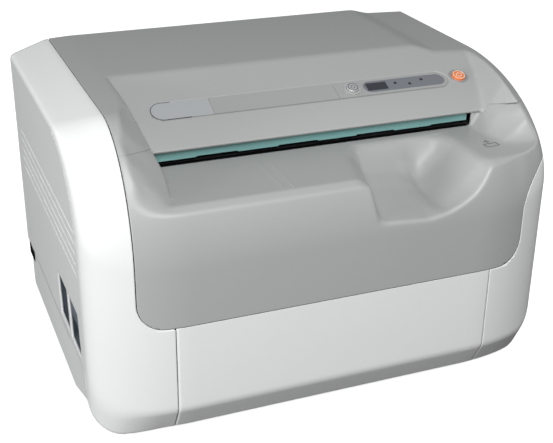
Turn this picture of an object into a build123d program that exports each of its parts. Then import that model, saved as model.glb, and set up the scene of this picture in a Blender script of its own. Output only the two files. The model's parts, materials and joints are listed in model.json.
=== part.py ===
from build123d import *

import math
import os

# Tabletop phosphor plate scanner. Millimetres, +Z up, the front faces -Y, +X is to the right
# of someone standing in front. The origin is the centre of the footprint, on the table.

os.makedirs("parts", exist_ok=True)

# Driving dimensions of the whole machine
body_width = 560
quarter_angle = 90
body_depth = 418
body_height = 354
foot_height = 11
wall = 2.5
seam_gap = 0.5
fit_gap = 0.3
running_gap = 0.05
overrun = 60

half_width = body_width / 2
rear_y = body_depth / 2
front_y = -body_depth / 2
base_z = foot_height

# Outline of the covers: plan corners, shoulders and the arched front
corner_run = 110
corner_depth = 48
left_crown_inset = 73
left_seam_inset = 50
left_seam_drop = 6
left_edge_drop = 29
right_crown_inset = 82
right_shoulder_inset = 58
right_shoulder_drop = 12
right_edge_drop = 16
seam_arch_setback = 115
left_arch_setback = 151
right_arch_setback = 229
right_arch_turn_inset = 42
right_arch_turn_setback = 129
seam_spring_drop = 140
left_spring_drop = 119
right_spring_drop = 116
chin_height = 33
chin_depth = 18
chin_run = 139
lower_corner_radius = 45
corner_station_shares = (0.25, 0.5, 0.7, 0.85, 0.95, 1.0)

# Seams between the covers
apron_bottom_drop = 209
apron_corner_radius = 30
lower_panel_inset = 89.5
parting_drop = 52
right_flare_drop = 139
right_seam_inset = 47
side_cover_bottom_z = 78
front_wrap_length = 69
front_wrap_foot = 34.75
parting_back_run = 24
parting_turn_run = 8
parting_rate = 0.33
lip_seam_back = 2
lip_seam_margin = 10

# Cassette slot, tray and hand scoop
bay_centre_x = 23
slot_side_room = 158
slot_setback = 125
slot_height = 18
tray_drop = 75
lip_overhang = 6
lip_corner_setback = 142
crease_setback = 231.5
slope_angle = 22.8
crest_setback = 23
crest_run = 12
crest_drop = 7
crest_round_run = 7
crest_round_drop = 9
crest_end_drop = 12

# Flanks that rise from the tray to the shoulders: distance from the front, height over the
# tray beside it, height over the tray at the shoulder
left_flank_inset = 56
left_flank_rows = (
    (300, 100, 102),
    (234, 75, 77),
    (145, 37.5, 91),
    (121, 21, 90),
    (99, 13, 83),
    (84, 5, 76),
    (63, 1.5, 58),
    (48, 1, 48),
    (32, 0.8, 31),
    (23, 0.5, 11),
    (12, -5, -4),
    (4, -15, -14),
    (-60, -60, -60),
)
right_flank_inset = 4
right_flank_rows = (
    (300, 0, 86),
    (114, 0, 86),
    (91, 0, 75),
    (77, 0, 52),
    (69, 0, 40),
    (62, 0, 33),
    (56, 0, 17),
    (47, 0, 5.5),
    (23, 0, 0.5),
    (12, -5, -4),
    (4, -15, -14),
    (-60, -60, -60),
)

# Hand scoop: distance from the front, left and right edge from the slot's right end, and depth
scoop_rows = (
    (-30, 188, 34, 54),
    (49, 177.5, 45, 47),
    (88, 172, 44, 38),
    (102, 166, 48, 20),
    (110.5, 152, 60, 4),
)
scoop_floor_shares = (0.0, 0.0, 0.03, 0.1, 0.6, 0.78, 0.87, 0.94, 1.0, 1.0)
scoop_depth_shares = (-1.0, 0.3, 0.75, 1.0, 1.0, 0.82, 0.6, 0.32, 0.0, -1.0)

# Side covers: shallow grooves, low openings and the notch below them
groove_count = 5
groove_pitch = 12.4
groove_top_drop = 105
groove_height = 4
groove_depth = 1.2
groove_front_setback = 59
groove_rear_inset = 41
vent_low_z = 91
vent_high_z = 144
vent_setback = 183
vent_length = 51
vent_strut = 8
vent_lean = 6
notch_height = 6
liner_depth = 10
liner_wall = 2
liner_margin = 4

# Base, feet and rear
base_floor = 3
base_wall = 2.5
base_wall_top_z = 77
foot_radius = 16
foot_inset_x = 65
foot_front_inset = 69
foot_rear_inset = 49
rear_panel_inset = 9
rear_panel_sheet = 2
spacer_width = 22
spacer_height = 22
spacer_inset = 8
spacer_z = 52
louvre_count = 9
louvre_pitch = 11
louvre_length = 190
louvre_height = 4
louvre_drop = 139

# Frame and the plate's way through the machine
plate_inset = 30
plate_sheet = 2
plate_front_setback = 59
plate_step_run = 14
plate_low_drop = 79
plate_top_lift = 3
plate_tab_lift = 12
plate_flange_lift = 60
plate_tab_half = 22
plate_flange = 14
deck_sheet = 2
deck_drop = 0.5
deck_roller_gap = 15
hood_sheet = 2
hood_lift = 2
hood_arm_gap = 20
rail_width = 6
rail_height = 12
rail_front_gap = 16
rail_feed_gap = 35
brush_depth = 5
brush_height = 1

# Rollers, drive and guides
shaft_radius = 4
drive_radius = 10
idler_radius = 8
nip_gap = 0.6
roller_end_gap = 6
bush_radius = 6
bush_length = 5
bush_flange = 1.5
bush_flange_radius = 7.2
scan_nip_inset = 67
feed_scan_run = 47
feed_nip_lift = 7
scan_upper_share = 0.702
scan_lower_share = 0.518
scan_line_share = 0.61
pulley_radius = 9
pulley_width = 8
pulley_rim = 1
pulley_standoff = 3
motor_pulley_radius = 6
motor_scan_gap = 101
motor_body = 42
motor_length = 38
motor_shaft_radius = 2.5
motor_hole_radius = 5
belt_thickness = 1.6
guide_sheet = 1
guide_gap = 3
guide_end_gap = 5
guide_radius = 34
lower_guide_radius = 52
lower_guide_share = 0.162
lower_guide_setback = 59

# Suction arm
arm_feed_gap = 35
arm_pivot_lift = 19
arm_reach = 40
arm_bar_drop = 4
arm_bar_size = 8
arm_bar_length = 190
arm_link_width = 8
arm_link_height = 10
arm_link_spread = 70
cup_count = 3
cup_pitch = 70
cup_radius = 9
cup_height = 9
cup_neck_radius = 4
cup_neck_share = 0.5

# Optics
shelf_line_drop = 54
shelf_sheet = 2
shelf_scan_gap = 24
shelf_depth = 178
optics_side_gap = 30
optics_scan_gap = 38
optics_depth = 144
optics_height = 62
optics_wall = 3
beam_slit_height = 4
beam_slit_run = 6
beam_slit_inset = 20
mirror_x = -60
mirror_throw = 94
mirror_face_count = 6
mirror_radius = 20
mirror_thickness = 10
mirror_boss_radius = 14
mirror_shaft_radius = 3
mirror_lift = 0.5
mirror_shaft_depth = 22
light_guide_scan_gap = 30
light_guide_depth = 12
light_guide_height = 7
light_guide_drop = 3
pmt_width = 50
pmt_side_gap = 18
pmt_depth = 38
pmt_height = 57

# Erase unit
erase_side_gap = 48
erase_half_y = 60
erase_height = 34
erase_wall = 2
lamp_count = 3
lamp_pitch = 35
lamp_radius = 8
lamp_drop = 24

# Electrics
supply_width = 160
supply_side_gap = 28
supply_setback = 69
supply_depth = 140
supply_share = 0.14
board_x = 20
board_side_gap = 28
board_setback = 59
board_depth = 200
board_sheet = 1.6
board_standoff = 6
standoff_radius = 3
standoff_inset = 8
chip_count = 4
chip_size = 26
chip_height = 5
chip_inset = 16
chip_margin = 24
fan_inset = 100
fan_z = 130
fan_size = 92
fan_depth = 25
fan_bore_radius = 43
fan_stator_radius = 16
fan_stator_depth = 7
fan_spoke_width = 5
fan_pin_radius = 1.5
fan_pin_length = 11
fan_hub_depth = 12
fan_hub_radius = 18
fan_blade_count = 7
fan_blade_radius = 41
fan_blade_thickness = 2
fan_blade_tilt = 35
fan_blade_chord = 14
fan_grille_slot = 5
fan_grille_count = 7
inlet_inset = 100
inlet_z = 42
inlet_width = 30
inlet_height = 54
inlet_depth = 26
inlet_flange = 4
inlet_flange_sheet = 2
socket_width = 24
socket_height = 16.5
socket_depth = 17
socket_pin_width = 2
socket_pin_height = 5
socket_pin_length = 13
socket_pin_pitch = 7
socket_pin_count = 3
rocker_height = 18
rocker_width = 13
rocker_depth = 9
rocker_cavity_depth = 14
rocker_proud = 3
rocker_tilt = 7
rocker_pin_radius = 1.4
rocker_pin_length = 2
rocker_side_gap = 0.6
rocker_end_gap = 0.9
data_inlet_run = 70
data_width = 17
data_height = 15
data_depth = 19
data_cavity_width = 12
data_cavity_height = 8.5
data_cavity_depth = 14
screw_radius = 1.6
screw_hole_gap = 0.2
screw_length = 8
screw_hole_run = 16
screw_head_radius = 3.5
screw_head_height = 2
screw_low_z = 50
screw_middle_share = 0.417
screw_top_drop = 20
screw_side_inset = 80

# Slot shutter
shutter_sheet = 1.5
shutter_drop = 10.5
shutter_hinge_drop = 2.6
shutter_knuckle_radius = 1.8
shutter_pin_radius = 1.2
shutter_pin_length = 2.4
shutter_side_gap = 4
shutter_step = 1.2
shutter_step_count = 8
ear_thickness = 3
ear_depth = 8
ear_height = 6
shutter_setback = 4

# Control strip on the sloped front
strip_left_inset = 14
strip_right_inset = 11
strip_height = 28
strip_down = 68
strip_thickness = 1.6
nameplate_length = 71
panel_length = 150.5
window_end_gap = 5
window_length = 109
window_height = 19
window_thickness = 1
screen_gap = 4
screen_length = 27
screen_height = 13
screen_thickness = 0.5
light_radius = 2
light_proud = 0.3
light_insets = (71, 53, 35)
light_ups = (2, -2, 3)
round_key_inset = 129
round_radius = 7.4
round_bezel_width = 3
power_key_gap = 15.5
power_radius = 8.4
power_bezel_width = 3.6
bezel_height = 1
button_proud = 1
button_travel = 1.5
button_skirt = 4
button_hole_run = 12
button_flange_width = 2
button_flange_height = 1.5

# Places that follow from the sizes above
seam_spring_z = body_height - seam_spring_drop
left_spring_z = body_height - left_spring_drop
right_spring_z = body_height - right_spring_drop
apron_bottom_z = body_height - apron_bottom_drop
parting_z = body_height - parting_drop
right_flare_z = body_height - right_flare_drop
tray_z = body_height - tray_drop
groove_top_z = body_height - groove_top_drop
louvre_z = body_height - louvre_drop
lower_panel_half = half_width - lower_panel_inset
left_flank_x = -(half_width - left_flank_inset)
right_flank_x = half_width - right_flank_inset

slot_width = body_width - slot_side_room
slot_y = front_y + slot_setback
slot_left_x = bay_centre_x - slot_width / 2
slot_right_x = bay_centre_x + slot_width / 2
lip_z = tray_z + slot_height
lip_y = slot_y - lip_overhang
crease_y = front_y + crease_setback
lip_corner_y = front_y + lip_corner_setback
slope_rate = math.tan(math.radians(slope_angle))
lip_corner_z = body_height - slope_rate * (crease_y - lip_corner_y)
parting_back_y = slot_y + parting_back_run
parting_turn_y = slot_y + parting_turn_run
groove_front_y = front_y + groove_front_setback
groove_rear_y = rear_y - groove_rear_inset
vent_rear_y = front_y + vent_setback

plate_x = half_width - plate_inset
plate_in_x = plate_x - plate_sheet
plate_front_y = front_y + plate_front_setback
plate_step_y = slot_y + plate_step_run
plate_low_top_z = tray_z - plate_low_drop
plate_top_z = lip_z + plate_top_lift
cover_in_x = half_width - wall
floor_z = base_z + base_floor
deck_top_z = tray_z - deck_drop
hood_z = lip_z + hood_lift
hood_front_y = slot_y + lip_overhang
rear_panel_y = rear_y - rear_panel_inset

drive_offset = drive_radius + nip_gap / 2
idler_offset = idler_radius + nip_gap / 2
scan_nip_y = rear_y - scan_nip_inset
feed_y = scan_nip_y - feed_scan_run
feed_nip_z = tray_z + feed_nip_lift
scan_upper_z = floor_z + (feed_nip_z - floor_z) * scan_upper_share
scan_lower_z = floor_z + (feed_nip_z - floor_z) * scan_lower_share
scan_line_z = floor_z + (feed_nip_z - floor_z) * scan_line_share
lower_guide_z = floor_z + (feed_nip_z - floor_z) * lower_guide_share
lower_guide_front_y = front_y + lower_guide_setback
deck_rear_y = feed_y - deck_roller_gap
rail_rear_y = feed_y - rail_feed_gap
arm_pivot_y = feed_y - arm_feed_gap
arm_pivot_z = lip_z + arm_pivot_lift
plate_tab_top_z = arm_pivot_z + plate_tab_lift
hood_rear_y = arm_pivot_y - arm_reach - hood_arm_gap

shelf_z = scan_line_z - shelf_line_drop
shelf_rear_y = scan_nip_y - shelf_scan_gap
shelf_front_y = shelf_rear_y - shelf_depth
light_guide_x = plate_in_x - pmt_side_gap - pmt_width
light_guide_y = scan_nip_y - light_guide_scan_gap
pmt_rear_y = shelf_rear_y
pmt_front_y = pmt_rear_y - pmt_depth
optics_half_x = light_guide_x - optics_side_gap
optics_rear_y = scan_nip_y - optics_scan_gap
optics_front_y = optics_rear_y - optics_depth
beam_slit_half = optics_half_x - beam_slit_inset
mirror_y = optics_rear_y - mirror_throw
motor_y = scan_nip_y - motor_scan_gap
motor_z = shelf_z + shelf_sheet + motor_body / 2
erase_half_x = plate_in_x - erase_side_gap
erase_y = shelf_front_y + erase_half_y

supply_x = -plate_in_x + supply_side_gap
supply_front_y = front_y + supply_setback
supply_height = (feed_nip_z - floor_z) * supply_share
board_width = plate_in_x - board_side_gap - board_x
board_front_y = front_y + board_setback
chip_pitch = (board_width - chip_margin) / chip_count
fan_x = -(half_width - fan_inset)
inlet_x = half_width - inlet_inset
data_x = inlet_x - data_inlet_run
screw_high_top_z = plate_top_z - screw_top_drop
screw_high_low_z = base_wall_top_z + (plate_top_z - base_wall_top_z) * screw_middle_share

strip_left_x = slot_left_x + strip_left_inset
strip_right_x = slot_right_x - strip_right_inset
nameplate_right_x = strip_left_x + nameplate_length
divider_x = strip_right_x - panel_length
window_right_x = strip_right_x - window_end_gap
window_left_x = window_right_x - window_length
screen_left_x = window_left_x + screen_gap
screen_right_x = screen_left_x + screen_length
light_xs = [strip_right_x - inset for inset in light_insets]
round_x = strip_right_x - round_key_inset
power_x = strip_right_x + power_key_gap


# Basic solids


def block(x, y, z):
    """A box between the low and high place of each axis."""
    centre = Pos((x[0] + x[1]) / 2, (y[0] + y[1]) / 2, (z[0] + z[1]) / 2)
    return centre * Box(x[1] - x[0], y[1] - y[0], z[1] - z[0])


def rod_x(x, y, z, radius):
    """A round bar along X between two places."""
    return Pos((x[0] + x[1]) / 2, y, z) * Rot(0, 90, 0) * Cylinder(radius, x[1] - x[0])


def rod_y(x, y, z, radius):
    """A round bar along Y between two places."""
    return Pos(x, (y[0] + y[1]) / 2, z) * Rot(90, 0, 0) * Cylinder(radius, y[1] - y[0])


def rod_z(x, y, z, radius):
    """An upright round bar between two heights."""
    return Pos(x, y, (z[0] + z[1]) / 2) * Cylinder(radius, z[1] - z[0])


def side_prism(points, x):
    """An outline of (y, z) points carried from one x to another."""
    outline = make_face(Polyline(*points, close=True))
    return extrude(Plane.YZ.offset(x[0]) * outline, amount=x[1] - x[0])


def front_prism(points, y):
    """An outline of (x, z) points carried from one y to another."""
    outline = make_face(Polyline(*points, close=True))
    return extrude(Plane.XZ.offset(-y[1]) * outline, amount=y[1] - y[0])


def save(name, shape):
    """Writes one node. Loose results of a cut are kept as one group."""
    export_step(shape if isinstance(shape, Compound) else Compound(children=[*shape.solids()]),
                "parts/" + name + ".step")


# Outline of the covers


def along(x, knots):
    """A value that runs straight between (place, value) knots."""
    if x <= knots[0][0]:
        return knots[0][1]
    for (x0, v0), (x1, v1) in zip(knots, knots[1:]):
        if x <= x1:
            return v0 + (v1 - v0) * (x - x0) / (x1 - x0)
    return knots[-1][1]


def plan_front(x):
    """Front face in plan: flat in the middle, a quarter ellipse at each corner."""
    share = max(0, (abs(x) - (half_width - corner_run)) / corner_run)
    return front_y + corner_depth * (1 - math.sqrt(max(0, 1 - share * share)))


def lower_edge(x):
    """Height of the lower edge, which rises in an arc at each corner."""
    reach = abs(x) - (half_width - lower_corner_radius)
    if reach <= 0:
        return base_z
    return base_z + lower_corner_radius - math.sqrt(max(0, lower_corner_radius**2 - reach**2))


left_seam_x = -(half_width - left_seam_inset)
left_crown_x = -(half_width - left_crown_inset)
right_crown_x = half_width - right_crown_inset
right_shoulder_x = half_width - right_shoulder_inset

top_knots = (
    (-half_width, body_height - left_edge_drop),
    (left_seam_x, body_height - left_seam_drop),
    (left_crown_x, body_height),
    (right_crown_x, body_height),
    (right_shoulder_x, body_height - right_shoulder_drop),
    (half_width, body_height - right_edge_drop),
)
arch_knots = (
    (-half_width, front_y + left_arch_setback),
    (left_seam_x, front_y + seam_arch_setback),
    (right_crown_x, front_y + seam_arch_setback),
    (half_width - right_arch_turn_inset, front_y + right_arch_turn_setback),
    (half_width, front_y + right_arch_setback),
)
spring_knots = (
    (-half_width, left_spring_z),
    (left_seam_x, seam_spring_z),
    (right_shoulder_x, seam_spring_z),
    (half_width, right_spring_z),
)


def stations():
    """Places along X where the outline of the covers is drawn."""
    flat = half_width - corner_run
    left = [left_seam_x - share * left_seam_inset for share in corner_station_shares]
    right = [right_shoulder_x + share * right_shoulder_inset for share in corner_station_shares]
    return left[::-1] + [left_seam_x, left_crown_x, -flat, flat, right_crown_x, right_shoulder_x] + right


def outline_at(x, inset, hollow):
    """Side outline of the covers at one place, with every wall moved in by the inset."""
    y_front = plan_front(x) + inset
    y_arch = along(x, arch_knots)
    z_top = along(x, top_knots) - inset
    z_spring = along(x, spring_knots)
    z_low = lower_edge(x)
    y_back = rear_y + overrun if hollow else rear_y
    y_low = y_front + chin_depth if hollow else front_y + chin_run
    z_floor = z_low - overrun if hollow else base_z
    corners = [
        (y_back, z_floor),
        (y_low, z_floor),
        (y_front + chin_depth, z_low),
        (y_front, z_low + chin_height),
        (y_front, z_spring),
    ]
    arc = EllipticalCenterArc((y_arch, z_spring), y_arch - y_front, z_top - z_spring,
                             quarter_angle, arc_size=quarter_angle)
    edges = [Line(a, b) for a, b in zip(corners, corners[1:])]
    edges += [arc, Line((y_arch, z_top), (y_back, z_top)), Line((y_back, z_top), corners[0])]
    place = x * (half_width - inset) / half_width
    return Plane.YZ.offset(place) * make_face(edges)


def covers_body(inset, hollow):
    """The closed form of the covers, or the space inside them."""
    return loft([outline_at(x, inset, hollow) for x in stations()], ruled=True)


# Sloped front, tray and hand scoop


def front_cut_points(grow):
    """Side outline of everything cut from the front: slope, lip, slot, tray and crest."""
    high = body_height + overrun
    lip_rate = (lip_corner_z - lip_z) / (lip_corner_y - lip_y)
    low = tray_z - crest_drop - crest_round_drop - crest_end_drop - grow
    return [
        (crease_y + grow + (high - body_height) / slope_rate, high),
        (crease_y + grow, body_height - grow),
        (lip_corner_y + grow, lip_corner_z - grow),
        (lip_y + grow + grow / lip_rate, lip_z),
        (slot_y + grow, lip_z),
        (slot_y + grow, tray_z - grow),
        (front_y + crest_setback + grow, tray_z - grow),
        (front_y + crest_setback - crest_run + grow, tray_z - crest_drop - grow),
        (front_y + crest_setback - crest_run - crest_round_run + grow,
         tray_z - crest_drop - crest_round_drop - grow),
        (front_y + grow, low),
        (front_y + grow, low - overrun),
        (front_y - overrun, low - overrun),
        (front_y - overrun, high),
    ]


def flank_space(rows, x_inner, x_outer, grow):
    """Space above a flank, whose floor runs straight from the tray's side to the shoulder."""
    high = body_height + overrun * 2

    def at(x, heights):
        floor = [(front_y + row[0] + grow, tray_z + height - grow) for row, height in zip(rows, heights)]
        ends = [(floor[-1][0], high), (floor[0][0], high)]
        return Plane.YZ.offset(x) * make_face(Polyline(*floor, *ends, close=True))

    return loft([at(x_inner, [row[1] for row in rows]), at(x_outer, [row[2] for row in rows])], ruled=True)


def front_cut(grow):
    """Everything cut from the front of the covers, with the flanks at both ends."""
    points = front_cut_points(grow)
    left = slot_left_x - grow
    right = slot_right_x + grow
    left_end = side_prism(points, (left_flank_x, left))
    left_end = left_end & flank_space(left_flank_rows, left, left_flank_x, grow)
    right_end = side_prism(points, (right, right_flank_x))
    right_end = right_end & flank_space(right_flank_rows, right, right_flank_x, grow)
    return [side_prism(points, (left, right)), left_end, right_end]


def scoop_section(row, grow):
    """Outline of the hand scoop at one depth: steep on the left, a long slope on the right."""
    setback, left_inset, right_inset, depth = row
    left = slot_right_x - left_inset
    width = left_inset - right_inset + grow * 2
    points = []
    for across, down in zip(scoop_floor_shares, scoop_depth_shares):
        drop = overrun * down if down < 0 else depth * down + grow
        points.append((left - grow + width * across, tray_z - drop))
    return Plane.XZ.offset(-front_y - setback - grow) * make_face(Polyline(*points, close=True))


def scoop_cut(grow):
    """The hollow at the right of the tray, where a hand takes hold of the cassette."""
    return loft([scoop_section(row, grow) for row in scoop_rows], ruled=True)


def skin():
    """All the covers as one shell of constant wall, with the slot cut through."""
    outer = covers_body(0, False)
    inner = covers_body(wall, True)
    for cut in [*front_cut(0), scoop_cut(0)]:
        outer = outer - cut
    for cut in [*front_cut(wall), scoop_cut(wall)]:
        inner = inner - cut
    slot = block((slot_left_x, slot_right_x), (slot_y - wall, slot_y + wall * 2),
                 (tray_z, lip_z + wall))
    return outer - inner - slot


# Seams


def left_region(shift):
    """Front outline of the left cover's space; the shift moves its seams towards the middle."""
    x_seam = left_seam_x + shift
    z_start = apron_bottom_z + apron_corner_radius
    radius = apron_corner_radius - shift
    x_panel = -lower_panel_half + shift
    z_bottom = z_start - radius
    x_far = -half_width - overrun
    edges = [
        Line((x_far, body_height + overrun), (x_seam, body_height + overrun)),
        Line((x_seam, body_height + overrun), (x_seam, z_start)),
        CenterArc((x_seam + radius, z_start), radius, 180, 90),
        Line((x_seam + radius, z_bottom), (x_panel, z_bottom)),
        Line((x_panel, z_bottom), (x_panel, -overrun)),
        Line((x_panel, -overrun), (x_far, -overrun)),
        Line((x_far, -overrun), (x_far, body_height + overrun)),
    ]
    y_far = rear_y + overrun
    return extrude(Plane.XZ.offset(-y_far) * make_face(edges), amount=body_depth + overrun * 2)


def right_region(shift):
    """Front outline of the right cover's space, whose seam flares out to the side's top."""
    x_seam = half_width - right_seam_inset - shift
    z_start = apron_bottom_z + apron_corner_radius
    radius = apron_corner_radius - shift
    rise = parting_z - right_flare_z
    flare = (rise**2 + right_seam_inset**2) / (right_seam_inset * 2) + shift
    x_far = x_seam + flare
    x_panel = lower_panel_half - shift
    z_bottom = z_start - radius
    edges = [
        Line((x_panel, -overrun), (x_panel, z_bottom)),
        Line((x_panel, z_bottom), (x_seam - radius, z_bottom)),
        CenterArc((x_seam - radius, z_start), radius, 270, 90),
        Line((x_seam, z_start), (x_seam, right_flare_z)),
        CenterArc((x_far, right_flare_z), flare, 90, 90),
        Line((x_far, right_flare_z + flare), (x_far, -overrun)),
        Line((x_far, -overrun), (x_panel, -overrun)),
    ]
    y_far = rear_y + overrun
    return extrude(Plane.XZ.offset(-y_far) * make_face(edges), amount=body_depth + overrun * 2)


def side_cover_space():
    """What a side cover keeps: all of its front wrap, and above the base strip behind it."""
    y_wrap = front_y + front_wrap_length
    high = body_height + overrun
    points = [
        (front_y - overrun, -overrun),
        (front_y + front_wrap_foot, -overrun),
        (front_y + front_wrap_foot, base_z),
        (y_wrap, side_cover_bottom_z),
        (rear_y + overrun, side_cover_bottom_z),
        (rear_y + overrun, high),
        (front_y - overrun, high),
    ]
    return side_prism(points, (-half_width - overrun, half_width + overrun))


def vent_openings():
    """Two leaning openings low in the side, and the notch in the edge below them."""
    cuts = []
    rear = vent_rear_y
    for _ in range(2):
        ahead = rear - vent_length
        points = [(rear, vent_high_z), (rear - vent_lean, vent_low_z),
                  (ahead - vent_lean, vent_low_z), (ahead, vent_high_z)]
        cuts.append(side_prism(points, (-half_width - overrun, half_width + overrun)))
        rear = ahead - vent_strut
    notch_front = vent_rear_y - vent_length * 2 - vent_strut
    notch = block((-half_width - overrun, half_width + overrun), (notch_front, vent_rear_y - vent_length),
                  (side_cover_bottom_z - wall, side_cover_bottom_z + notch_height))
    return cuts[0] + cuts[1] + notch


def grooves(side):
    """Long shallow grooves with round ends along one side."""
    cut = []
    for index in range(groove_count):
        z = groove_top_z - index * groove_pitch
        outer = side * half_width
        inner = side * (half_width - groove_depth)
        beyond = outer + side * wall
        bar = block((min(beyond, inner), max(beyond, inner)), (groove_front_y, groove_rear_y),
                    (z - groove_height / 2, z + groove_height / 2))
        cut.append(fillet(bar.edges().filter_by(Axis.X), groove_height / 2 - running_gap))
    return cut


def side_cover(whole, region, side):
    """One white side cover with its grooves and low openings."""
    cover = whole & region & side_cover_space()
    cover = cover - vent_openings()
    for groove in grooves(side):
        cover = cover - groove
    return cover


whole_skin = skin()
half_gap = seam_gap / 2
middle_skin = whole_skin - left_region(half_gap) - right_region(half_gap)


def left_side_cover():
    return side_cover(whole_skin, left_region(-half_gap), -1)


def right_side_cover():
    return side_cover(whole_skin, right_region(-half_gap), 1)


def above_parting(shift):
    """Space of the top cover: over the parting line on both flanks and over the slot between."""
    far = front_y - overrun
    high = body_height + overrun
    points = [
        (far, parting_z + parting_rate * (parting_turn_y - far) + shift),
        (parting_turn_y, parting_z + shift),
        (rear_y + overrun, parting_z + shift),
        (rear_y + overrun, high + overrun),
        (far, high + overrun),
    ]
    flanks = side_prism(points, (-half_width - overrun, half_width + overrun))
    lip = block((slot_left_x - wall + shift, slot_right_x + lip_seam_margin - shift),
                (lip_y - lip_seam_back + shift, slot_y + wall * 2), (lip_z + shift, high))
    return flanks + lip


def front_apron():
    """Grey front: curved face, tray, hand scoop and the lower parts of the two flanks."""
    keep = block((-half_width, half_width), (front_y - overrun, parting_back_y),
                 (apron_bottom_z, body_height + overrun))
    return (middle_skin & keep) - above_parting(-half_gap)


def lower_front_panel():
    keep = block((-lower_panel_half, lower_panel_half), (front_y - overrun, front_y + chin_run),
                 (-overrun, apron_bottom_z - seam_gap))
    return middle_skin & keep


def slope_plane(x):
    """A plane on the sloped face, on the centre line of the control strip."""
    run = strip_down * math.cos(math.radians(slope_angle))
    drop = strip_down * math.sin(math.radians(slope_angle))
    normal = (0, -math.sin(math.radians(slope_angle)), math.cos(math.radians(slope_angle)))
    return Plane(origin=(x, crease_y - run, body_height - drop), x_dir=(1, 0, 0), z_dir=normal)


def on_slope(x, up, low, high, face):
    """A flat outline on the sloped face, carried from a depth to a height along its normal."""
    return extrude(slope_plane(0).offset(low) * (Pos(x, up) * face), amount=high - low)


def strip_outline(grow):
    length = strip_right_x - strip_left_x + grow * 2
    return Pos((strip_left_x + strip_right_x) / 2, 0) * SlotOverall(length, strip_height + grow * 2)


def strip_piece(x_low, x_high):
    """Part of the control strip between two places, flush with the sloped face."""
    keep = Pos((x_low + x_high) / 2, 0) * Rectangle(x_high - x_low - fit_gap, strip_height * 2)
    return on_slope(0, 0, -strip_thickness, 0, strip_outline(-fit_gap / 2) & keep)


def button_hole(x, radius):
    return on_slope(x, 0, -button_hole_run, button_hole_run, Circle(radius + fit_gap))


def top_cover():
    """Grey top: crown, right shoulder, sloped front and the lip over the slot."""
    cover = middle_skin & above_parting(half_gap)
    cover = cover - on_slope(0, 0, -strip_thickness, strip_thickness, strip_outline(fit_gap / 2))
    cover = cover - button_hole(round_x, round_radius) - button_hole(power_x, power_radius)
    return cover


# Control strip and buttons


def nameplate_blank():
    return strip_piece(strip_left_x - fit_gap, nameplate_right_x)


def name_strip():
    return strip_piece(nameplate_right_x, divider_x)


def window_outline(grow):
    length = window_right_x - window_left_x + grow * 2
    return SlotOverall(length, window_height + grow * 2)


def control_panel():
    panel = strip_piece(divider_x, strip_right_x + fit_gap)
    centre = (window_left_x + window_right_x) / 2
    panel = panel - on_slope(centre, 0, -window_thickness, wall, window_outline(fit_gap / 2))
    return panel - button_hole(round_x, round_radius)


def screen_outline(grow):
    return Rectangle(screen_right_x - screen_left_x + grow * 2, screen_height + grow * 2)


def display_window():
    """Dark window strip with a pocket for the screen and three small light holes."""
    centre = (window_left_x + window_right_x) / 2
    window = on_slope(centre, 0, -window_thickness, 0, window_outline(0))
    screen_x = (screen_left_x + screen_right_x) / 2
    window = window - on_slope(screen_x, 0, -screen_thickness, wall, screen_outline(fit_gap / 2))
    for x, up in zip(light_xs, light_ups):
        window = window - on_slope(x, up, -window_thickness, wall, Circle(light_radius + running_gap))
    return window


def lcd_screen():
    screen_x = (screen_left_x + screen_right_x) / 2
    return on_slope(screen_x, 0, -screen_thickness, 0, screen_outline(0))


def indicator_lights():
    lights = [on_slope(x, up, -window_thickness, light_proud, Circle(light_radius))
              for x, up in zip(light_xs, light_ups)]
    return Compound(children=lights)


def button_bezel(x, radius, width):
    ring = Circle(radius + fit_gap + width) - Circle(radius + fit_gap)
    return on_slope(x, 0, 0, bezel_height, ring)


def button_cap(x, radius):
    """Cap through the cover, with a collar under the cover that keeps it in."""
    inside = wall * (math.sin(math.radians(slope_angle)) + math.cos(math.radians(slope_angle)))
    top = bezel_height + button_proud + button_travel
    cap = on_slope(x, 0, -inside - button_skirt, top, Circle(radius))
    rim = cap.edges().filter_by(GeomType.CIRCLE).sort_by(Axis.Z)[-1]
    cap = fillet(rim, button_proud)
    low = -inside - fit_gap - button_flange_height
    return cap + on_slope(x, 0, low, -inside - fit_gap, Circle(radius + button_flange_width))


# Slot shutter


shutter_y = slot_y + shutter_setback
shutter_hinge_z = hood_z - shutter_hinge_drop
shutter_left_x = slot_left_x + shutter_side_gap
shutter_right_x = slot_right_x - shutter_side_gap


def slot_shutter():
    """Hinged flap that closes the slot, with a stepped lower edge and a pin at each end."""
    low_z = shutter_hinge_z - shutter_drop
    half = shutter_sheet / 2
    flap = block((shutter_left_x, shutter_right_x), (shutter_y - half, shutter_y + half),
                 (low_z, shutter_hinge_z))
    pitch = (shutter_right_x - shutter_left_x) / shutter_step_count
    for index in range(0, shutter_step_count, 2):
        x = shutter_left_x + index * pitch
        flap = flap + block((x, x + pitch), (shutter_y - half, shutter_y + half),
                            (low_z - shutter_step, low_z))
    flap = flap + rod_x((shutter_left_x, shutter_right_x), shutter_y, shutter_hinge_z,
                        shutter_knuckle_radius)
    reach = fit_gap + shutter_pin_length
    return flap + rod_x((shutter_left_x - reach, shutter_right_x + reach), shutter_y, shutter_hinge_z,
                        shutter_pin_radius)


def shutter_brackets():
    """One ear at each end of the shutter, fixed under the hood."""
    ears = []
    for near, sign in ((shutter_left_x - fit_gap, -1), (shutter_right_x + fit_gap, 1)):
        far = near + sign * ear_thickness
        ear = block((min(near, far), max(near, far)), (shutter_y - ear_depth / 2, shutter_y + ear_depth / 2),
                    (hood_z - ear_height, hood_z))
        hole = rod_x((min(near, far) - wall, max(near, far) + wall), shutter_y, shutter_hinge_z,
                     shutter_pin_radius + running_gap)
        ears.append(ear - hole)
    return Compound(children=[solid for ear in ears for solid in ear.solids()])


# Base, feet and rear panel


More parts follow.
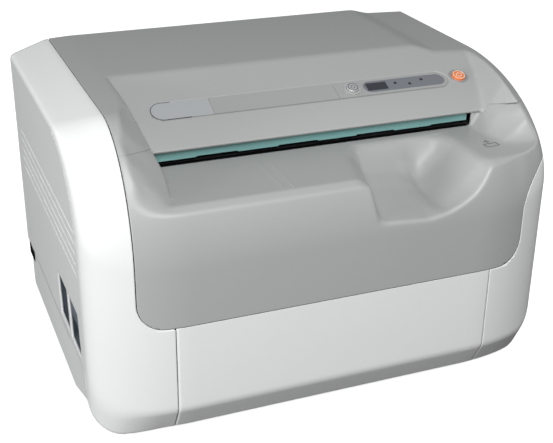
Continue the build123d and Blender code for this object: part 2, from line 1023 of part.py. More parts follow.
def base_tray():
    """Floor and low walls that follow the inside of the covers."""
    inset = wall + fit_gap
    outer = covers_body(inset, True) & covers_body(0, False)
    keep = block((-half_width, half_width), (front_y, rear_panel_y - rear_panel_sheet - fit_gap),
                 (base_z, base_wall_top_z))
    space = covers_body(inset + base_wall, True) & block(
        (-half_width, half_width), (front_y, rear_panel_y - rear_panel_sheet - fit_gap - base_wall),
        (floor_z, base_wall_top_z + overrun))
    tray = (outer & keep) - space
    for x, z in rear_screw_places():
        if z < base_wall_top_z:
            tray = tray - rod_y(x, (rear_panel_y - screw_hole_run, rear_panel_y), z,
                                screw_radius + screw_hole_gap)
    clear = inlet_flange + fit_gap
    for x, width, height in ((inlet_x, inlet_width, inlet_height), (data_x, data_width, data_height)):
        tray = tray - block((x - width / 2 - clear, x + width / 2 + clear),
                            (rear_panel_y - inlet_depth, rear_panel_y),
                            (inlet_z - clear - height / 2 + base_wall, base_wall_top_z + overrun))
    return tray


def rubber_feet():
    feet = []
    for x in (-half_width + foot_inset_x, half_width - foot_inset_x):
        for y in (front_y + foot_front_inset, rear_y - foot_rear_inset):
            foot = rod_z(x, y, (0, base_z), foot_radius)
            feet.append(chamfer(foot.edges().sort_by(Axis.Z)[0], wall / 2))
    return Compound(children=[solid for foot in feet for solid in foot.solids()])


def rear_screw_places():
    side = half_width - screw_side_inset
    high = plate_in_x - plate_flange / 2
    places = [(x, screw_low_z) for x in (-side, -side / 3)]
    places += [(x, z) for x in (-high, high) for z in (screw_high_low_z, screw_high_top_z)]
    return places


def rear_panel():
    """Sheet with louvres, fan slots and the cut-outs for the sockets."""
    back = (rear_panel_y - rear_panel_sheet, rear_panel_y)
    sheet = block((-half_width, half_width), back, (floor_z, body_height))
    sheet = covers_body(wall + fit_gap, True) & sheet
    through = (back[0] - wall, back[1] + wall)
    for index in range(louvre_count):
        z = louvre_z + index * louvre_pitch
        sheet = sheet - block((-louvre_length / 2, louvre_length / 2), through, (z, z + louvre_height))
    for index in range(fan_grille_count):
        offset = (index - (fan_grille_count - 1) / 2) * fan_size / (fan_grille_count + 1)
        reach = math.sqrt(max(0, fan_bore_radius**2 - offset**2)) - fan_grille_slot
        sheet = sheet - block((fan_x - reach, fan_x + reach), through,
                              (fan_z + offset - fan_grille_slot / 2, fan_z + offset + fan_grille_slot / 2))
    for x, width, height in ((inlet_x, inlet_width, inlet_height), (data_x, data_width, data_height)):
        z = socket_centre_z(height)
        sheet = sheet - block((x - width / 2 - fit_gap, x + width / 2 + fit_gap), through,
                              (z - height / 2 - fit_gap, z + height / 2 + fit_gap))
    for x, z in rear_screw_places():
        sheet = sheet - rod_y(x, through, z, screw_radius + screw_hole_gap)
    return sheet


def socket_centre_z(height):
    """Sockets share one lower line."""
    return inlet_z + height / 2


def rear_screws():
    screws = []
    for x, z in rear_screw_places():
        shank = rod_y(x, (rear_panel_y - screw_length, rear_panel_y), z, screw_radius)
        head = rod_y(x, (rear_panel_y, rear_panel_y + screw_head_height), z, screw_head_radius)
        screws += (shank + head).solids()
    return Compound(children=screws)


def rear_spacers():
    """Two black pads that keep the back off a wall."""
    pads = []
    for side in (-1, 1):
        near = side * (cover_in_x - spacer_inset)
        far = near - side * spacer_width
        pads += block((min(near, far), max(near, far)), (rear_panel_y, rear_y),
                      (spacer_z, spacer_z + spacer_height)).solids()
    return Compound(children=pads)


def side_vent_liners():
    """Dark boxes behind the low side openings."""
    liners = []
    low_z = base_wall_top_z + fit_gap + wall
    y_low = vent_rear_y - vent_length * 2 - vent_strut - vent_lean - liner_margin
    y_high = vent_rear_y + liner_margin
    for side in (-1, 1):
        outer = side * (cover_in_x - fit_gap)
        inner = outer - side * liner_depth
        floor = inner + side * liner_wall
        box = block((min(outer, inner), max(outer, inner)), (y_low, y_high),
                    (low_z, vent_high_z + liner_margin))
        beyond = outer + side * wall
        space = block((min(floor, beyond), max(floor, beyond)), (y_low + liner_wall, y_high - liner_wall),
                      (low_z + liner_wall, vent_high_z + liner_margin - liner_wall))
        liners += (box - space).solids()
    return Compound(children=liners)


# Frame and cassette bay


def roller_axes():
    """Where each roller's shaft runs: (y, z)."""
    return {
        "feed_drive": (feed_y, feed_nip_z - drive_offset),
        "feed_idler": (feed_y, feed_nip_z + idler_offset),
        "scan_upper_drive": (scan_nip_y - drive_offset, scan_upper_z),
        "scan_upper_idler": (scan_nip_y + idler_offset, scan_upper_z),
        "scan_lower_drive": (scan_nip_y - drive_offset, scan_lower_z),
        "scan_lower_idler": (scan_nip_y + idler_offset, scan_lower_z),
    }


def side_plate(side):
    """Upright steel plate with the roller bushes' holes, an arm tab and a rear flange."""
    rear = rear_panel_y - rear_panel_sheet
    points = [
        (plate_front_y, floor_z),
        (rear, floor_z + base_wall_top_z - base_z),
        (rear, plate_top_z),
        (arm_pivot_y + plate_tab_half, plate_top_z),
        (arm_pivot_y + plate_tab_half / 2, plate_tab_top_z),
        (arm_pivot_y - plate_tab_half / 2, plate_tab_top_z),
        (arm_pivot_y - plate_tab_half, plate_top_z),
        (plate_step_y, plate_top_z),
        (plate_step_y, plate_low_top_z + (plate_top_z - plate_low_top_z) / 2),
        (plate_front_y, plate_low_top_z),
    ]
    points.insert(1, (rear - base_wall - fit_gap * 2, floor_z))
    points.insert(2, (rear - base_wall - fit_gap * 2, floor_z + base_wall_top_z - base_z))
    x = (plate_in_x, plate_x) if side > 0 else (-plate_x, -plate_in_x)
    plate = side_prism(points, x)
    flange_x = (plate_in_x - plate_flange, plate_x) if side > 0 else (-plate_x, -plate_in_x + plate_flange)
    plate = plate + block(flange_x, (rear - plate_sheet, rear), 
                          (base_wall_top_z + plate_flange_lift, plate_top_z))
    through = (x[0] - wall, x[1] + wall)
    for y, z in roller_axes().values():
        plate = plate - rod_x(through, y, z, bush_radius + running_gap)
    plate = plate - rod_x(through, arm_pivot_y, arm_pivot_z, shaft_radius + running_gap)
    if side > 0:
        plate = plate - rod_x(through, motor_y, motor_z, motor_hole_radius)
    for sx, sz in rear_screw_places():
        if sz > base_wall_top_z:
            plate = plate - rod_y(sx, (rear - plate_sheet - wall, rear + wall), sz,
                                  screw_radius + screw_hole_gap)
    return plate


def roller_bushes():
    """A flanged bush in each side plate for every roller shaft."""
    bushes = []
    for side in (-1, 1):
        for y, z in roller_axes().values():
            inner = side * (plate_in_x - bush_flange)
            outer = inner + side * bush_length
            body = rod_x((min(inner, outer), max(inner, outer)), y, z, bush_radius)
            flange_out = inner + side * (bush_flange - fit_gap / 2)
            body = body + rod_x((min(inner, flange_out), max(inner, flange_out)), y, z, bush_flange_radius)
            bore_x = (min(inner, outer) - wall, max(inner, outer) + wall)
            bushes += (body - rod_x(bore_x, y, z, shaft_radius + running_gap)).solids()
    return Compound(children=bushes)


def cassette_deck():
    """Floor of the cassette bay, between the side plates."""
    return block((-plate_in_x, plate_in_x), (slot_y + wall + seam_gap, deck_rear_y),
                 (deck_top_z - deck_sheet, deck_top_z))


def cassette_hood():
    """Roof of the bay's mouth, between the side plates."""
    return block((-plate_in_x, plate_in_x), (hood_front_y, hood_rear_y), (hood_z, hood_z + hood_sheet))


def cassette_rails():
    """Two rails that keep a cassette square to the slot."""
    rails = []
    for near, sign in ((slot_left_x + wall, -1), (slot_right_x - wall, 1)):
        far = near + sign * rail_width
        rails += block((min(near, far), max(near, far)), (slot_y + rail_front_gap, rail_rear_y),
                       (deck_top_z, deck_top_z + rail_height)).solids()
    return Compound(children=rails)


def slot_brush():
    """Strip of dark pile on the front edge of the bay floor."""
    front = slot_y + wall + seam_gap
    return block((slot_left_x + wall, slot_right_x - wall), (front, front + brush_depth),
                 (deck_top_z, deck_top_z + brush_height))


def suction_arm():
    """Swinging arm: cross shaft, two links and the bar that carries the cups."""
    arm = rod_x((-plate_x, plate_x), arm_pivot_y, arm_pivot_z, shaft_radius)
    y_bar = arm_pivot_y - arm_reach
    z_bar = arm_pivot_z - arm_bar_drop
    half = arm_bar_size / 2
    arm = arm + block((bay_centre_x - arm_bar_length / 2, bay_centre_x + arm_bar_length / 2),
                      (y_bar - half, y_bar + half), (z_bar - half, z_bar + half))
    for side in (-1, 1):
        x = bay_centre_x + side * arm_link_spread
        points = [
            (arm_pivot_y + arm_link_height / 2, arm_pivot_z - arm_link_height / 2),
            (arm_pivot_y + arm_link_height / 2, arm_pivot_z + arm_link_height / 2),
            (arm_pivot_y - arm_link_height / 2, arm_pivot_z + arm_link_height / 2),
            (y_bar - half, z_bar + half),
            (y_bar - half, z_bar - half),
            (y_bar + half, z_bar - half),
        ]
        arm = arm + side_prism(points, (x - arm_link_width / 2, x + arm_link_width / 2))
    return arm


def suction_cups():
    cups = []
    y = arm_pivot_y - arm_reach
    top = arm_pivot_z - arm_bar_drop - arm_bar_size / 2
    neck_height = cup_height * cup_neck_share
    bell_height = cup_height - neck_height
    for index in range(cup_count):
        x = bay_centre_x + (index - (cup_count - 1) / 2) * cup_pitch
        neck = rod_z(x, y, (top - neck_height, top), cup_neck_radius)
        bell = Cone(cup_radius, cup_neck_radius, bell_height)
        bell = Pos(x, y, top - neck_height - bell_height / 2) * bell
        cups += (neck + bell).solids()
    return Compound(children=cups)


# Rollers, drive and guides


def roller(name, radius):
    """Covered roller on a steel shaft that runs in two bushes."""
    y, z = roller_axes()[name]
    end = plate_in_x - roller_end_gap
    shaft_out = plate_in_x - bush_flange + bush_length
    body = rod_x((-end, end), y, z, radius)
    right = shaft_out
    if name.endswith("drive"):
        right = plate_x + pulley_standoff + pulley_width
    return body + rod_x((-shaft_out, right), y, z, shaft_radius)


def roller_pulley(name):
    """Toothed-belt pulley on the right end of a driven shaft."""
    y, z = roller_axes()[name + "_drive"]
    x = (plate_x + pulley_standoff, plate_x + pulley_standoff + pulley_width)
    body = rod_x(x, y, z, pulley_radius)
    body = body + rod_x((x[0], x[0] + pulley_rim), y, z, pulley_radius + belt_thickness)
    return body - rod_x((x[0] - wall, x[1] + wall), y, z, shaft_radius + running_gap / 2)


def belt_loop(grow, x):
    """Closed outline round the four pulleys, carried across the belt's width."""
    axes = roller_axes()
    places = [(axes[name][0], axes[name][1], pulley_radius)
              for name in ("feed_drive", "scan_upper_drive", "scan_lower_drive")]
    places.append((motor_y, motor_z, motor_pulley_radius))
    rings = [Pos(y, z) * Circle(radius + grow) for y, z, radius in places]
    outline = make_hull(Sketch(children=rings).edges())
    return extrude(Plane.YZ.offset(x[0]) * outline, amount=x[1] - x[0])


def drive_belt():
    start = plate_x + pulley_standoff
    x = (start + pulley_rim + fit_gap, start + pulley_width - fit_gap)
    outside = belt_loop(fit_gap + belt_thickness, x)
    return outside - belt_loop(fit_gap, (x[0] - wall, x[1] + wall))


def drive_motor():
    """Stepper motor that stands on the optics shelf against the right side plate."""
    z_low = shelf_z + shelf_sheet
    half = motor_body / 2
    body = block((plate_in_x - motor_length, plate_in_x), (motor_y - half, motor_y + half),
                 (z_low, motor_z + half - fit_gap))
    return fillet(body.edges().filter_by(Axis.X), wall)


def motor_pulley():
    """Small pulley and its shaft, which turns in the motor."""
    x = (plate_x + pulley_standoff, plate_x + pulley_standoff + pulley_width)
    body = rod_x(x, motor_y, motor_z, motor_pulley_radius)
    body = body + rod_x((x[0], x[0] + pulley_rim), motor_y, motor_z, motor_pulley_radius + belt_thickness)
    return body + rod_x((plate_in_x + fit_gap, x[1]), motor_y, motor_z, motor_shaft_radius)


def guide(points, radius):
    """Sheet bent once, between the side plates."""
    path = FilletPolyline(*points, radius=radius)
    band = make_face(offset_band(path))
    return extrude(Plane.YZ.offset(-plate_in_x) * band, amount=plate_in_x * 2)


def offset_band(path):
    """Closed outline of a line given the sheet's thickness on one side."""
    other = offset(path, guide_sheet, side=Side.LEFT)
    return other.edges()


def upper_plate_guide():
    """Turns the plate from level at the feed rollers to straight down."""
    y_out = scan_nip_y + guide_gap
    z_top = feed_nip_z + guide_sheet
    y_in = feed_y + drive_radius + guide_gap
    low = scan_upper_z + idler_radius + guide_end_gap
    return guide([(y_in, z_top), (y_out, z_top), (y_out, low)], guide_radius)


def lower_plate_guide():
    """Turns the plate from straight down to level and carries it towards the front."""
    y_out = scan_nip_y + guide_gap
    high = scan_lower_z - idler_radius - guide_end_gap
    return guide([(y_out, high), (y_out, lower_guide_z), (lower_guide_front_y, lower_guide_z)],
                 lower_guide_radius)


# Optics, erase unit and electrics


def optics_shelf():
    return block((-plate_in_x, plate_in_x), (shelf_front_y, shelf_rear_y), (shelf_z, shelf_z + shelf_sheet))


def scan_unit_housing():
    """Open box with the mirror's boss and the slit for the beam."""
    low = shelf_z + shelf_sheet
    box = block((-optics_half_x, optics_half_x), (optics_front_y, optics_rear_y), (low, low + optics_height))
    space = block((-optics_half_x + optics_wall, optics_half_x - optics_wall),
                  (optics_front_y + optics_wall, optics_rear_y - optics_wall),
                  (low + optics_wall, low + optics_height - optics_wall))
    slit = block((-beam_slit_half, beam_slit_half), (optics_rear_y - beam_slit_run, optics_rear_y + wall),
                 (scan_line_z - beam_slit_height / 2, scan_line_z + beam_slit_height / 2))
    boss = rod_z(mirror_x, mirror_y, (low + optics_wall, mirror_low_z() - mirror_lift), mirror_boss_radius)
    bore = rod_z(mirror_x, mirror_y, (mirror_low_z() - mirror_shaft_depth - mirror_lift, mirror_low_z()),
                 mirror_shaft_radius + running_gap)
    return box - space - slit + boss - bore


def mirror_low_z():
    return scan_line_z - mirror_thickness / 2


def polygon_mirror():
    """Hexagonal mirror on a short shaft."""
    low = mirror_low_z()
    face = Pos(mirror_x, mirror_y, low) * RegularPolygon(mirror_radius, mirror_face_count)
    prism = extrude(face, amount=mirror_thickness)
    return prism + rod_z(mirror_x, mirror_y, (low - mirror_shaft_depth, low), mirror_shaft_radius)


def light_guide():
    """Clear bar beside the scan line that leads light to the detector."""
    high = scan_line_z - light_guide_drop
    return block((-light_guide_x, light_guide_x), (light_guide_y, light_guide_y + light_guide_depth),
                 (high - light_guide_height, high))


def photomultiplier():
    low = shelf_z + shelf_sheet
    body = block((light_guide_x, light_guide_x + pmt_width), (pmt_front_y, pmt_rear_y),
                 (low, low + pmt_height))
    return fillet(body.edges().filter_by(Axis.Z), wall)


def erase_lamp_housing():
    """Inverted trough under the shelf, open towards the plate."""
    y = (erase_y - erase_half_y, erase_y + erase_half_y)
    box = block((-erase_half_x, erase_half_x), y, (shelf_z - erase_height, shelf_z))
    space = block((-erase_half_x + erase_wall, erase_half_x - erase_wall),
                  (y[0] + erase_wall, y[1] - erase_wall),
                  (shelf_z - erase_height - wall, shelf_z - erase_wall))
    return box - space


def erase_lamps():
    lamps = []
    reach = erase_half_x - erase_wall
    for index in range(lamp_count):
        y = erase_y + (index - (lamp_count - 1) / 2) * lamp_pitch
        lamps += rod_x((-reach, reach), y, shelf_z - lamp_drop, lamp_radius).solids()
    return Compound(children=lamps)


def power_supply():
    box = block((supply_x, supply_x + supply_width), (supply_front_y, supply_front_y + supply_depth),
                (floor_z, floor_z + supply_height))
    return chamfer(box.edges().filter_by(Axis.Z), wall)


def control_board():
    """Board on four standoffs with a row of chips."""
    low = floor_z + board_standoff
    high = low + board_sheet
    board = block((board_x, board_x + board_width), (board_front_y, board_front_y + board_depth),
                  (low, high))
    for x in (board_x + standoff_inset, board_x + board_width - standoff_inset):
        for y in (board_front_y + standoff_inset, board_front_y + board_depth - standoff_inset):
            board = board + rod_z(x, y, (floor_z, low), standoff_radius)
    for index in range(chip_count):
        x = board_x + chip_inset + index * chip_pitch
        y = board_front_y + board_depth / 2
        board = board + block((x, x + chip_size), (y, y + chip_size), (high, high + chip_height))
    return board


fan_back_y = rear_panel_y - rear_panel_sheet
fan_front_y = fan_back_y - fan_depth


def cooling_fan_frame():
    half = fan_size / 2
    frame = block((fan_x - half, fan_x + half), (fan_front_y, fan_back_y), (fan_z - half, fan_z + half))
    frame = frame - rod_y(fan_x, (fan_front_y - wall, fan_back_y + wall), fan_z, fan_bore_radius)
    stator_y = (fan_back_y - fan_stator_depth, fan_back_y)
    frame = frame + rod_y(fan_x, stator_y, fan_z, fan_stator_radius)
    spoke = fan_spoke_width / 2
    reach = fan_bore_radius + wall / 2
    spoke_y = (fan_back_y - wall, fan_back_y)
    frame = frame + block((fan_x - reach, fan_x + reach), spoke_y, (fan_z - spoke, fan_z + spoke))
    frame = frame + block((fan_x - spoke, fan_x + spoke), spoke_y, (fan_z - reach, fan_z + reach))
    return frame + rod_y(fan_x, (stator_y[0] - fan_pin_length, stator_y[0]), fan_z, fan_pin_radius)


def cooling_fan_impeller():
    """Hub with leaning blades, on the frame's pin."""
    high = fan_back_y - fan_stator_depth - fit_gap
    low = high - fan_hub_depth
    hub = rod_y(fan_x, (low, high), fan_z, fan_hub_radius)
    length = fan_blade_radius - fan_hub_radius + wall
    blade = Box(length, fan_blade_thickness, fan_blade_chord)
    blade = Pos(fan_hub_radius - wall + length / 2, 0, 0) * Rot(90 + fan_blade_tilt, 0, 0) * blade
    for index in range(fan_blade_count):
        turned = Rot(0, index * 360 / fan_blade_count, 0) * blade
        hub = hub + Pos(fan_x, (low + high) / 2, fan_z) * turned
    return hub - rod_y(fan_x, (low - wall, high + wall), fan_z, fan_pin_radius + running_gap)


def rocker_axis():
    """Place of the rocker's pivot: (y, z)."""
    z = socket_centre_z(inlet_height) + inlet_height / 4
    return rear_panel_y + inlet_flange_sheet - rocker_depth / 2 + rocker_proud / 2, z


def power_inlet():
    """Mains inlet and switch housing in one body, with three contacts."""
    z = socket_centre_z(inlet_height)
    back = rear_panel_y + inlet_flange_sheet
    body = block((inlet_x - inlet_width / 2, inlet_x + inlet_width / 2), (back - inlet_depth, back),
                 (z - inlet_height / 2, z + inlet_height / 2))
    flange = inlet_width / 2 + inlet_flange
    body = body + block((inlet_x - flange, inlet_x + flange), (rear_panel_y, back),
                        (z - inlet_height / 2 - inlet_flange / 2, z + inlet_height / 2 + inlet_flange / 2))
    socket_z = z - inlet_height / 4
    cavity = block((inlet_x - socket_width / 2, inlet_x + socket_width / 2),
                   (back - socket_depth, back + wall),
                   (socket_z - socket_height / 2, socket_z + socket_height / 2))
    pivot_y, pivot_z = rocker_axis()
    well_half = rocker_width / 2 + rocker_side_gap
    well_reach = rocker_height / 2 + rocker_end_gap
    well = block((inlet_x - well_half, inlet_x + well_half), (back - rocker_cavity_depth, back + wall),
                 (pivot_z - well_reach, pivot_z + well_reach))
    reach = well_half + rocker_pin_length
    pins = rod_x((inlet_x - reach, inlet_x + reach), pivot_y, pivot_z, rocker_pin_radius + running_gap)
    body = body - cavity - well - pins
    for index in range(socket_pin_count):
        x = inlet_x + (index - (socket_pin_count - 1) / 2) * socket_pin_pitch
        pin_z = socket_z + (socket_pin_height / 3 if index == 1 else -socket_pin_height / 3)
        body = body + block((x - socket_pin_width / 2, x + socket_pin_width / 2),
                            (back - socket_depth - running_gap, back - socket_depth + socket_pin_length),
                            (pin_z - socket_pin_height / 2, pin_z + socket_pin_height / 2))
    return body


def power_rocker():
    """Rocker key, drawn at its off tilt."""
    pivot_y, pivot_z = rocker_axis()
    half = rocker_height / 2
    depth = rocker_depth / 2
    points = [(-depth, -half / 2), (-depth, half / 2), (depth - rocker_proud / 2, half),
              (depth - rocker_proud, 0), (depth - rocker_proud / 2, -half)]
    key = side_prism(points, (-rocker_width / 2, rocker_width / 2))
    reach = rocker_width / 2 + rocker_pin_length
    key = key + rod_x((-reach, reach), 0, 0, rocker_pin_radius)
    return Pos(inlet_x, pivot_y, pivot_z) * Rot(-rocker_tilt, 0, 0) * key


def data_socket():
    z = socket_centre_z(data_height)
    back = rear_panel_y + inlet_flange_sheet
    body = block((data_x - data_width / 2, data_x + data_width / 2), (back - data_depth, back),
                 (z - data_height / 2, z + data_height / 2))
    body = body + block((data_x - data_width / 2 - wall, data_x + data_width / 2 + wall),
                        (rear_panel_y, back),
                        (z - data_height / 2 - wall, z + data_height / 2 + wall))
    return body - block((data_x - data_cavity_width / 2, data_x + data_cavity_width / 2),
                        (back - data_cavity_depth, back + wall),
                        (z - data_cavity_height / 2, z + data_cavity_height / 2))


nodes = {
    "base_tray": base_tray,
    "left_side_cover": left_side_cover,
    "right_side_cover": right_side_cover,
    "top_cover": top_cover,
    "front_apron": front_apron,
    "lower_front_panel": lower_front_panel,
    "rear_panel": rear_panel,
    "rubber_feet": rubber_feet,
    "rear_spacers": rear_spacers,
    "side_vent_liners": side_vent_liners,
    "nameplate_blank": nameplate_blank,
    "name_strip": name_strip,
    "control_panel": control_panel,
    "display_window": display_window,
    "lcd_screen": lcd_screen,
    "indicator_lights": indicator_lights,
    "round_button": lambda: button_cap(round_x, round_radius),
    "round_button_bezel": lambda: button_bezel(round_x, round_radius, round_bezel_width),
    "power_button": lambda: button_cap(power_x, power_radius),
    "power_button_bezel": lambda: button_bezel(power_x, power_radius, power_bezel_width),
    "slot_shutter": slot_shutter,
    "shutter_brackets": shutter_brackets,
    "slot_brush": slot_brush,
    "left_side_plate": lambda: side_plate(-1),
    "right_side_plate": lambda: side_plate(1),
    "cassette_deck": cassette_deck,
    "cassette_hood": cassette_hood,
    "cassette_rails": cassette_rails,
    "suction_arm": suction_arm,
    "suction_cups": suction_cups,
    "feed_drive_roller": lambda: roller("feed_drive", drive_radius),
    "feed_idler_roller": lambda: roller("feed_idler", idler_radius),
    "scan_upper_drive_roller": lambda: roller("scan_upper_drive", drive_radius),
    "scan_upper_idler_roller": lambda: roller("scan_upper_idler", idler_radius),
    "scan_lower_drive_roller": lambda: roller("scan_lower_drive", drive_radius),
    "scan_lower_idler_roller": lambda: roller("scan_lower_idler", idler_radius),
    "roller_bushes": roller_bushes,
    "feed_pulley": lambda: roller_pulley("feed"),
    "scan_upper_pulley": lambda: roller_pulley("scan_upper"),
    "scan_lower_pulley": lambda: roller_pulley("scan_lower"),
    "drive_motor": drive_motor,
    "motor_pulley": motor_pulley,
    "drive_belt": drive_belt,
    "upper_plate_guide": upper_plate_guide,
    "lower_plate_guide": lower_plate_guide,
    "optics_shelf": optics_shelf,
    "scan_unit_housing": scan_unit_housing,
    "polygon_mirror": polygon_mirror,
    "light_guide": light_guide,
    "photomultiplier": photomultiplier,
    "erase_lamp_housing": erase_lamp_housing,
    "erase_lamps": erase_lamps,
    "power_supply": power_supply,
    "control_board": control_board,
    "cooling_fan_frame": cooling_fan_frame,
    "cooling_fan_impeller": cooling_fan_impeller,
    "power_inlet": power_inlet,
    "power_rocker": power_rocker,
    "data_socket": data_socket,
    "rear_screws": rear_screws,
}

for name, make in nodes.items():
    save(name, make())
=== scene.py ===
import json
import math

import bpy
import numpy as np
from bpy.props import FloatProperty, FloatVectorProperty, PointerProperty
from mathutils import Matrix, Vector


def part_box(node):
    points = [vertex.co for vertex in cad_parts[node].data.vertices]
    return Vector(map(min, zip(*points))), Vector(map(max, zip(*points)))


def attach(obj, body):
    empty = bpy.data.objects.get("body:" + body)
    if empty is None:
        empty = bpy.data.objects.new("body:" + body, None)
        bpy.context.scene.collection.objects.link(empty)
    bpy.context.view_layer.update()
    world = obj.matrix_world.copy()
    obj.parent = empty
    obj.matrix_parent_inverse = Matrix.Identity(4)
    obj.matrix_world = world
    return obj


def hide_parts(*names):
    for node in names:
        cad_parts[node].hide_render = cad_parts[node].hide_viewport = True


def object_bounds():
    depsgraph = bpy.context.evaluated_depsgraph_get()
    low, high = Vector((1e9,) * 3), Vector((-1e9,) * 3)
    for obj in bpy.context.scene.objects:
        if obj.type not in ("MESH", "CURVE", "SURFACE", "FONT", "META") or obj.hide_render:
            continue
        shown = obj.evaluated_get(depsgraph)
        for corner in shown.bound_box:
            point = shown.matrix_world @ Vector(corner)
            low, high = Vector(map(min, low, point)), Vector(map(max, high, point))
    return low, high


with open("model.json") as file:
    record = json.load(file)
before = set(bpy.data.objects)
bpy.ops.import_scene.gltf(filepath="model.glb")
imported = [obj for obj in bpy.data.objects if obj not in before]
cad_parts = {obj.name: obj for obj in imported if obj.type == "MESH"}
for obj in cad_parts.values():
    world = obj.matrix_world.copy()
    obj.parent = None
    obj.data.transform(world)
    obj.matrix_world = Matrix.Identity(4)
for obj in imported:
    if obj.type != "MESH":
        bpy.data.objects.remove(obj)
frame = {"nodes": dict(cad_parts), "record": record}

bl_info = {
    "name": "Cassette Scanner Covers and Finishes",
    "version": (1, 0, 0),
    "blender": (4, 5, 0),
    "location": "View3D > Sidebar > Scanner",
    "description": "Soft moulded covers, printed marks, finishes and studio for a tabletop cassette scanner",
    "category": "Object",
}

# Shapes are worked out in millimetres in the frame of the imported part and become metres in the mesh
MM = 0.001
PART_LOW, PART_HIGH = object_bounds()
HALF_WIDTH = PART_HIGH.x / MM
FRONT_Y = PART_LOW.y / MM
REAR_Y = PART_HIGH.y / MM
TOP_Z = PART_HIGH.z / MM
FOOT_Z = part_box("base_tray")[0].z / MM
BASE_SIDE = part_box("base_tray")[1].x / MM
TINY = 1e-6

# Outline of the body: knots along X of the top, of the arch's rear end and of its foot
TOP_KNOTS = ((-300, 327), (-272, 339), (-233, 352.5), (-204, 354), (198, 354), (222, 347.5), (300, 344.5))
ARCH_KNOTS = ((-300, -44), (-230, -94), (198, -94), (238, -80), (300, 84))
SPRING_KNOTS = ((-300, 243), (-230, 214), (222, 214), (300, 240))
TOP_ROUND = 9
ARCH_ROUND = 12
CORNER_RUN = 110
CORNER_DEPTH = 48
LOWER_CORNER = 34
CHIN_HEIGHT = 33
CHIN_KNOTS = ((-300, 6), (-262, 8), (-205, 19), (205, 19), (300, 15))
CHIN_RUN = 139
CHIN_ROUND = 3
FOOT_ROUND = 2
SIDE_ROUND = 2
SHOULDER_ROUND = 3
SHOULDER_LOW_Z = 235
SHOULDER_RAMP = 60

# Slot, tray, slope and crest
SLOT_LEFT = -178
SLOT_RIGHT = 224
SLOT_Y = -84
TRAY_Z = 279
LIP_Z = 297
LIP_Y = -88
LIP_NOSE = (-90.5, 300)
LIP_CORNER = (-67, 316.4)
END_SETBACK = 2
CREASE_Y = 22.5
SLOPE = math.radians(22.8)
SLOPE_ROUND = 5
LIP_ROUND = 1.5
CREST_POINTS = ((-188, 279), (-201, 272.5), (-206, 262))
CREST_ROUND = 1.2
RIDGE_ROUND = 2.4

# Flanks beside the tray: distance from the front, height over the tray at the inner and outer edge
LEFT_FLANK_INNER = -190
LEFT_FLANK_OUTER = -224
LEFT_FLANK = (
    (-60, -60, -60), (4, -15, -14), (12, -5, -4), (23, 1, 11), (32, 5, 31), (48, 14, 48), (65, 25, 59),
    (80, 35, 73), (92, 40, 80), (104, 45.6, 85), (117, 51, 88), (129, 57, 90), (142, 64, 91), (160, 69, 90),
    (200, 74, 80), (234, 77, 78), (300, 101, 102),
)
RIGHT_FLANK_X = 276
RIGHT_FLANK = (
    (-60, -60, -60), (4, -15, -14), (12, -5, -4), (23, 0, 0.5), (47, 0, 5.5), (56, 0, 17), (62, 0, 33),
    (69, 0, 40), (77, 0, 52), (91, 0, 75), (114, 0, 86), (300, 0, 86),
)
FLANK_ROUND = 6
WALL_LEAN = 0.35
LEFT_FILL = 2
RIGHT_FILL = 4
WALL_ROUND = 3

# Hand scoop: distance from the front, left edge, right edge and depth; then shares across and down
SCOOP_ROWS = (
    (-30, 33, 198, 54), (1, 36, 191, 51.5), (30, 42, 182, 50), (60, 48, 180, 46), (84, 52, 180, 38),
    (98, 57, 178, 25), (107, 61, 175, 9), (112, 65, 171, 0), (118, 69, 167, -12), (135, 72, 164, -150),
)
SCOOP_FRONT_SHARES = (
    (-0.2, 0.0), (0.0, 0.2), (0.03, 0.8), (0.08, 0.93), (0.2, 0.95), (0.45, 1.0), (0.61, 0.91), (0.73, 0.76),
    (0.82, 0.6), (0.9, 0.36), (0.95, 0.18), (1.0, 0.0), (1.2, 0.0),
)
SCOOP_REAR_SHARES = (
    (-0.2, 0.0), (0.0, 0.2), (0.05, 0.5), (0.12, 0.6), (0.42, 0.72), (0.52, 0.9), (0.6, 1.12), (0.66, 1.1),
    (0.76, 0.86), (0.86, 0.62), (0.94, 0.3), (1.0, 0.0), (1.2, 0.0),
)
SCOOP_TURN = ((-206, 0), (-116, 1))
SCOOP_OUTSIDE = 60
SCOOP_ROUND = 9
SCOOP_SHARE_ROUND = 0.05
SCOOP_RIM = 5

# Seams
LEFT_SEAM_X = -230
RIGHT_SEAM_X = 233
APRON_LOW_Z = 148
APRON_CORNER = 30
PANEL_HALF = 190.5
FLARE_Z = 210
FLARE_RADIUS = 56
FLARE_RISE = ((-165, 0), (-90, 37.5))
PARTING_Z = 302
PARTING_TURN_Y = -76
PARTING_RATE = 0.33
LIP_SEAM = (-180.5, 244, -94, 297)
PARTING_DROP = 0.5
PARTING_SHARE = 0.3
SIDE_LOW_Z = 78
WRAP_FOOT_Y = -174
WRAP_TOP_Y = -140
APRON_BACK_Y = -83

# Grooves and openings in the sides
GROOVE_COUNT = 5
GROOVE_PITCH = 12.4
GROOVE_TOP_Z = 249
GROOVE_HALF = 1.4
GROOVE_DEPTH = 1.5
GROOVE_SPAN = (-150, 168)
GROOVE_ROUND = 0.4
VENT_LOW_Z = 91
VENT_HIGH_Z = 144
VENT_REAR_Y = -26
VENT_LENGTH = 51
VENT_STRUT = 8
VENT_LEAN = 6
NOTCH_HEIGHT = 6

# Pads at the lower rear corners
PAD_FRONT_Y = 176
PAD_LOW_Z = 54
PAD_HIGH_Z = 77.5
PAD_SINK = 1
PAD_ROUND = 2.5
PAD_RIB = 0.5
PAD_RIB_PITCH = 4

